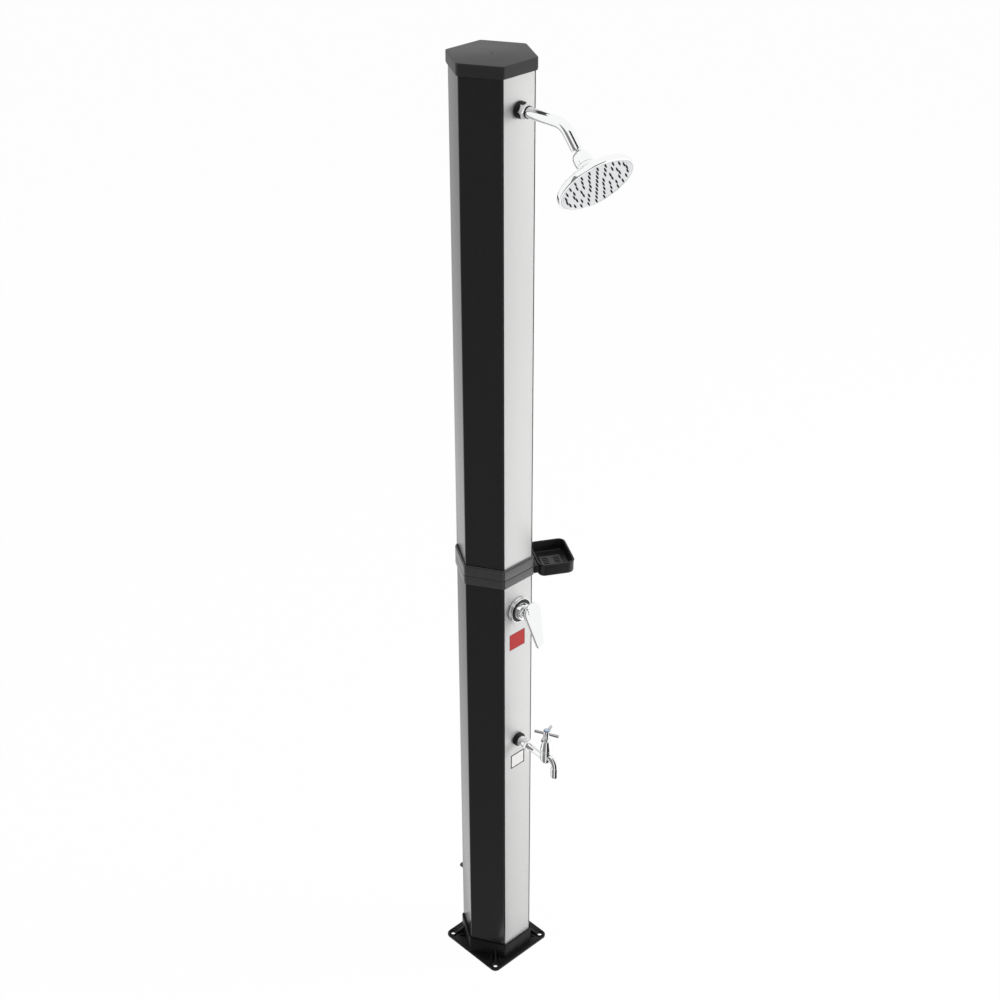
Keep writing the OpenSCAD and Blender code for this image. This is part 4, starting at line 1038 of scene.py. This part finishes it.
inlet_z = 0.149
inlet_bore = 0.0035
nipple_r = 0.0055
inlet_hex_r = 0.012
inlet_hex_low, inlet_hex_top = 0.0036, 0.014
screw_apart = 0.02
recess_long, recess_wide = 0.0018, 0.00045
recess_low, recess_top = 0.0008, 0.003
screw_face = tilted(-90, "X")
dark_nickel = finish("dark_nickel", (0.07, 0.07, 0.07), (0.12, 0.115, 0.11), 0.3, metallic=1.0,
                     grain=600, scuff=(150, 0.5), dust=0.0)
screw_steel = finish("screw_steel", (0.55, 0.55, 0.56), (0.35, 0.33, 0.3), 0.3, metallic=1.0,
                     scuff=(300, 0.5), dust=0.0)
flange = turned("inlet_flange", [
    (inlet_bore, -0.022), (0.008, -0.022), (0.008, 0), (0.013, 0), (0.013, 0.004, 0.001),
    (0.01, 0.0042), (0.01, 0.012), (0.0085, 0.0138), (0.0085, 0.0256, 0.0006),
    (0.006, 0.026, 0.0004), (nipple_r, 0.029), (nipple_r, 0.03), (0.0064, 0.0302, 0.0002),
    (nipple_r, 0.0338), (nipple_r, 0.0345), (nipple_r, 0.05, 0.0006), (0.0048, 0.051, 0.0003),
    (inlet_bore, 0.051)], dark_nickel, on_back(inlet_z), steps=64)
hand_over(flange, "chrome", "inlet_fitting")
inlet_hex = extruded("inlet_hexagon", [circle(0, 0, inlet_hex_r, 6)], inlet_hex_low, inlet_hex_top,
                     dark_nickel, edge=0.0008, place=on_back(inlet_z))
hand_over(inlet_hex, "chrome")


def screw_field():
    """Geometry Nodes: the same screw on every point of the object, all turned out of the back."""
    tree, start, end = new_group(
        "screw field", "GeometryNodeTree",
        [("Points", "Geometry"), ("Screw", "Object"), ("Finish", "Material")],
        [("Screws", "Geometry")])
    model, put = add(tree, "Geometry", "ObjectInfo", "InstanceOnPoints")
    wire(tree, (start, "Screw", model, "Object"), (start, "Points", put, "Points"),
         (model, "Geometry", put, "Instance"))
    return ended(tree, put, start, end)


cross = four_times([(recess_wide, recess_wide), (recess_wide, recess_long),
                    (-recess_wide, recess_long)])
screw = turned("screw_model", [
    (0, -0.005), (0.0019, -0.005), (0.0019, -0.0001), (0.0042, -0.0001), (0.0042, 0.001, 0.0004),
    (0.003, 0.0019, 0.001), (0, 0.002)], screw_steel, screw_face, steps=32)
recess = extruded("screw_recess", [cross], recess_low, recess_top, screw_steel, edge=0,
                  place=screw_face)
cut_away(screw, recess, 30)
screw_levels = [(0.03, 0.0035), (joint_z - 0.011, 0.0035), (joint_z + 0.012, 0.0035),
                (column_top - 0.014, 0.004)]
spots = bpy.data.meshes.new("screw_spots")
spots.from_pydata([(x, tank_flat / 2 + proud, z) for z, proud in screw_levels
                   for x in (-screw_apart, screw_apart)], [], [])
screws = placed("back_screws", spots)
run_nodes(screws, "screws", screw_field(), {"Screw": screw, "Finish": screw_steel})
settle(screws, 30)
bpy.data.objects.remove(screw)
hand_over(screws, "chrome", "base_screw_1", "base_screw_2", "collar_screw_1",
          "collar_screw_2", "collar_screw_3", "collar_screw_4", "cap_screw_1", "cap_screw_2")


# Plates on the front panel
# Two thin glued plates, left bare: a red one with a deeper border under the mixer, and a white one
# with a dark border under the tap.
field_thick, border_thick = 0.00016, 0.0002
field_gap = 0.0004


def ink(name, colour, worn_colour, rough, specular, scuff):
    """Flat print on a plate."""
    return finish(name, colour, worn_colour, rough, specular=specular, grain=400, scuff=scuff,
                  dust=0.0)


def bare_plate(name, x0, x1, z0, z1, rim, plain_ink, rim_ink):
    """A thin plate with a border of its own colour, printed a little proud of the field."""
    wide, high = x1 - x0, z1 - z0
    middle = on_front((z0 + z1) / 2) @ moved((x0 + x1) / 2, 0, 0)
    field = extruded(name + "_field", [box_outline(wide - field_gap, high - field_gap, 0.0012)],
                     0, field_thick, plain_ink, edge=0, place=middle)
    border = extruded(name + "_border", [box_outline(wide, high, 0.0014),
                                         box_outline(wide - 2 * rim, high - 2 * rim, 0.0008)],
                      0, border_thick, rim_ink, edge=0, place=middle)
    for part in (field, border):
        hand_over(part, "silver_panel")


red_ink = ink("red_ink", (0.36, 0.022, 0.022), (0.44, 0.07, 0.065), 0.4, 0.2, (90, 0.5))
red_rim = ink("red_rim", (0.17, 0.014, 0.016), (0.24, 0.04, 0.04), 0.4, 0.2, (90, 0.5))
white_ink = ink("white_ink", (0.66, 0.65, 0.64), (0.58, 0.57, 0.55), 0.45, 0.3, (60, 0.4))
dark_rim = ink("dark_rim", (0.02, 0.014, 0.014), (0.06, 0.05, 0.05), 0.45, 0.2, (60, 0.4))
bare_plate("red_plate", -0.0245, 0.0205, 0.901, 0.941, 0.0014, red_ink, red_rim)
bare_plate("white_plate", -0.0205, 0.021, 0.575, 0.612, 0.0028, white_ink, dark_rim)


# Pieces inside the column and the last seals
# Brass fittings, off-white pipes and plugs stay as they are modelled, and get their finishes here
# by the slots of the record.
brass = finish("brass", (0.52, 0.36, 0.14), (0.3, 0.2, 0.1), 0.28, metallic=1.0, grain=700,
               scuff=(120, 0.5), dust=0.0)
pipe_plastic = finish("pipe_plastic", (0.72, 0.71, 0.66), (0.55, 0.53, 0.47), 0.45, grain=700,
                      scuff=(60, 0.4), dust=0.05)
slot_finishes = {"black_plastic": collar_plastic, "silver_panel": panel_metal, "chrome": chrome,
                 "black_rubber": rubber, "brass": brass, "white_plastic": pipe_plastic,
                 "blue_index": index_plastic}
for part in frame["record"]["subparts"]:
    mesh = nodes[part["node"]].data
    mesh.materials.clear()
    mesh.materials.append(slot_finishes[part["material_slot"]])
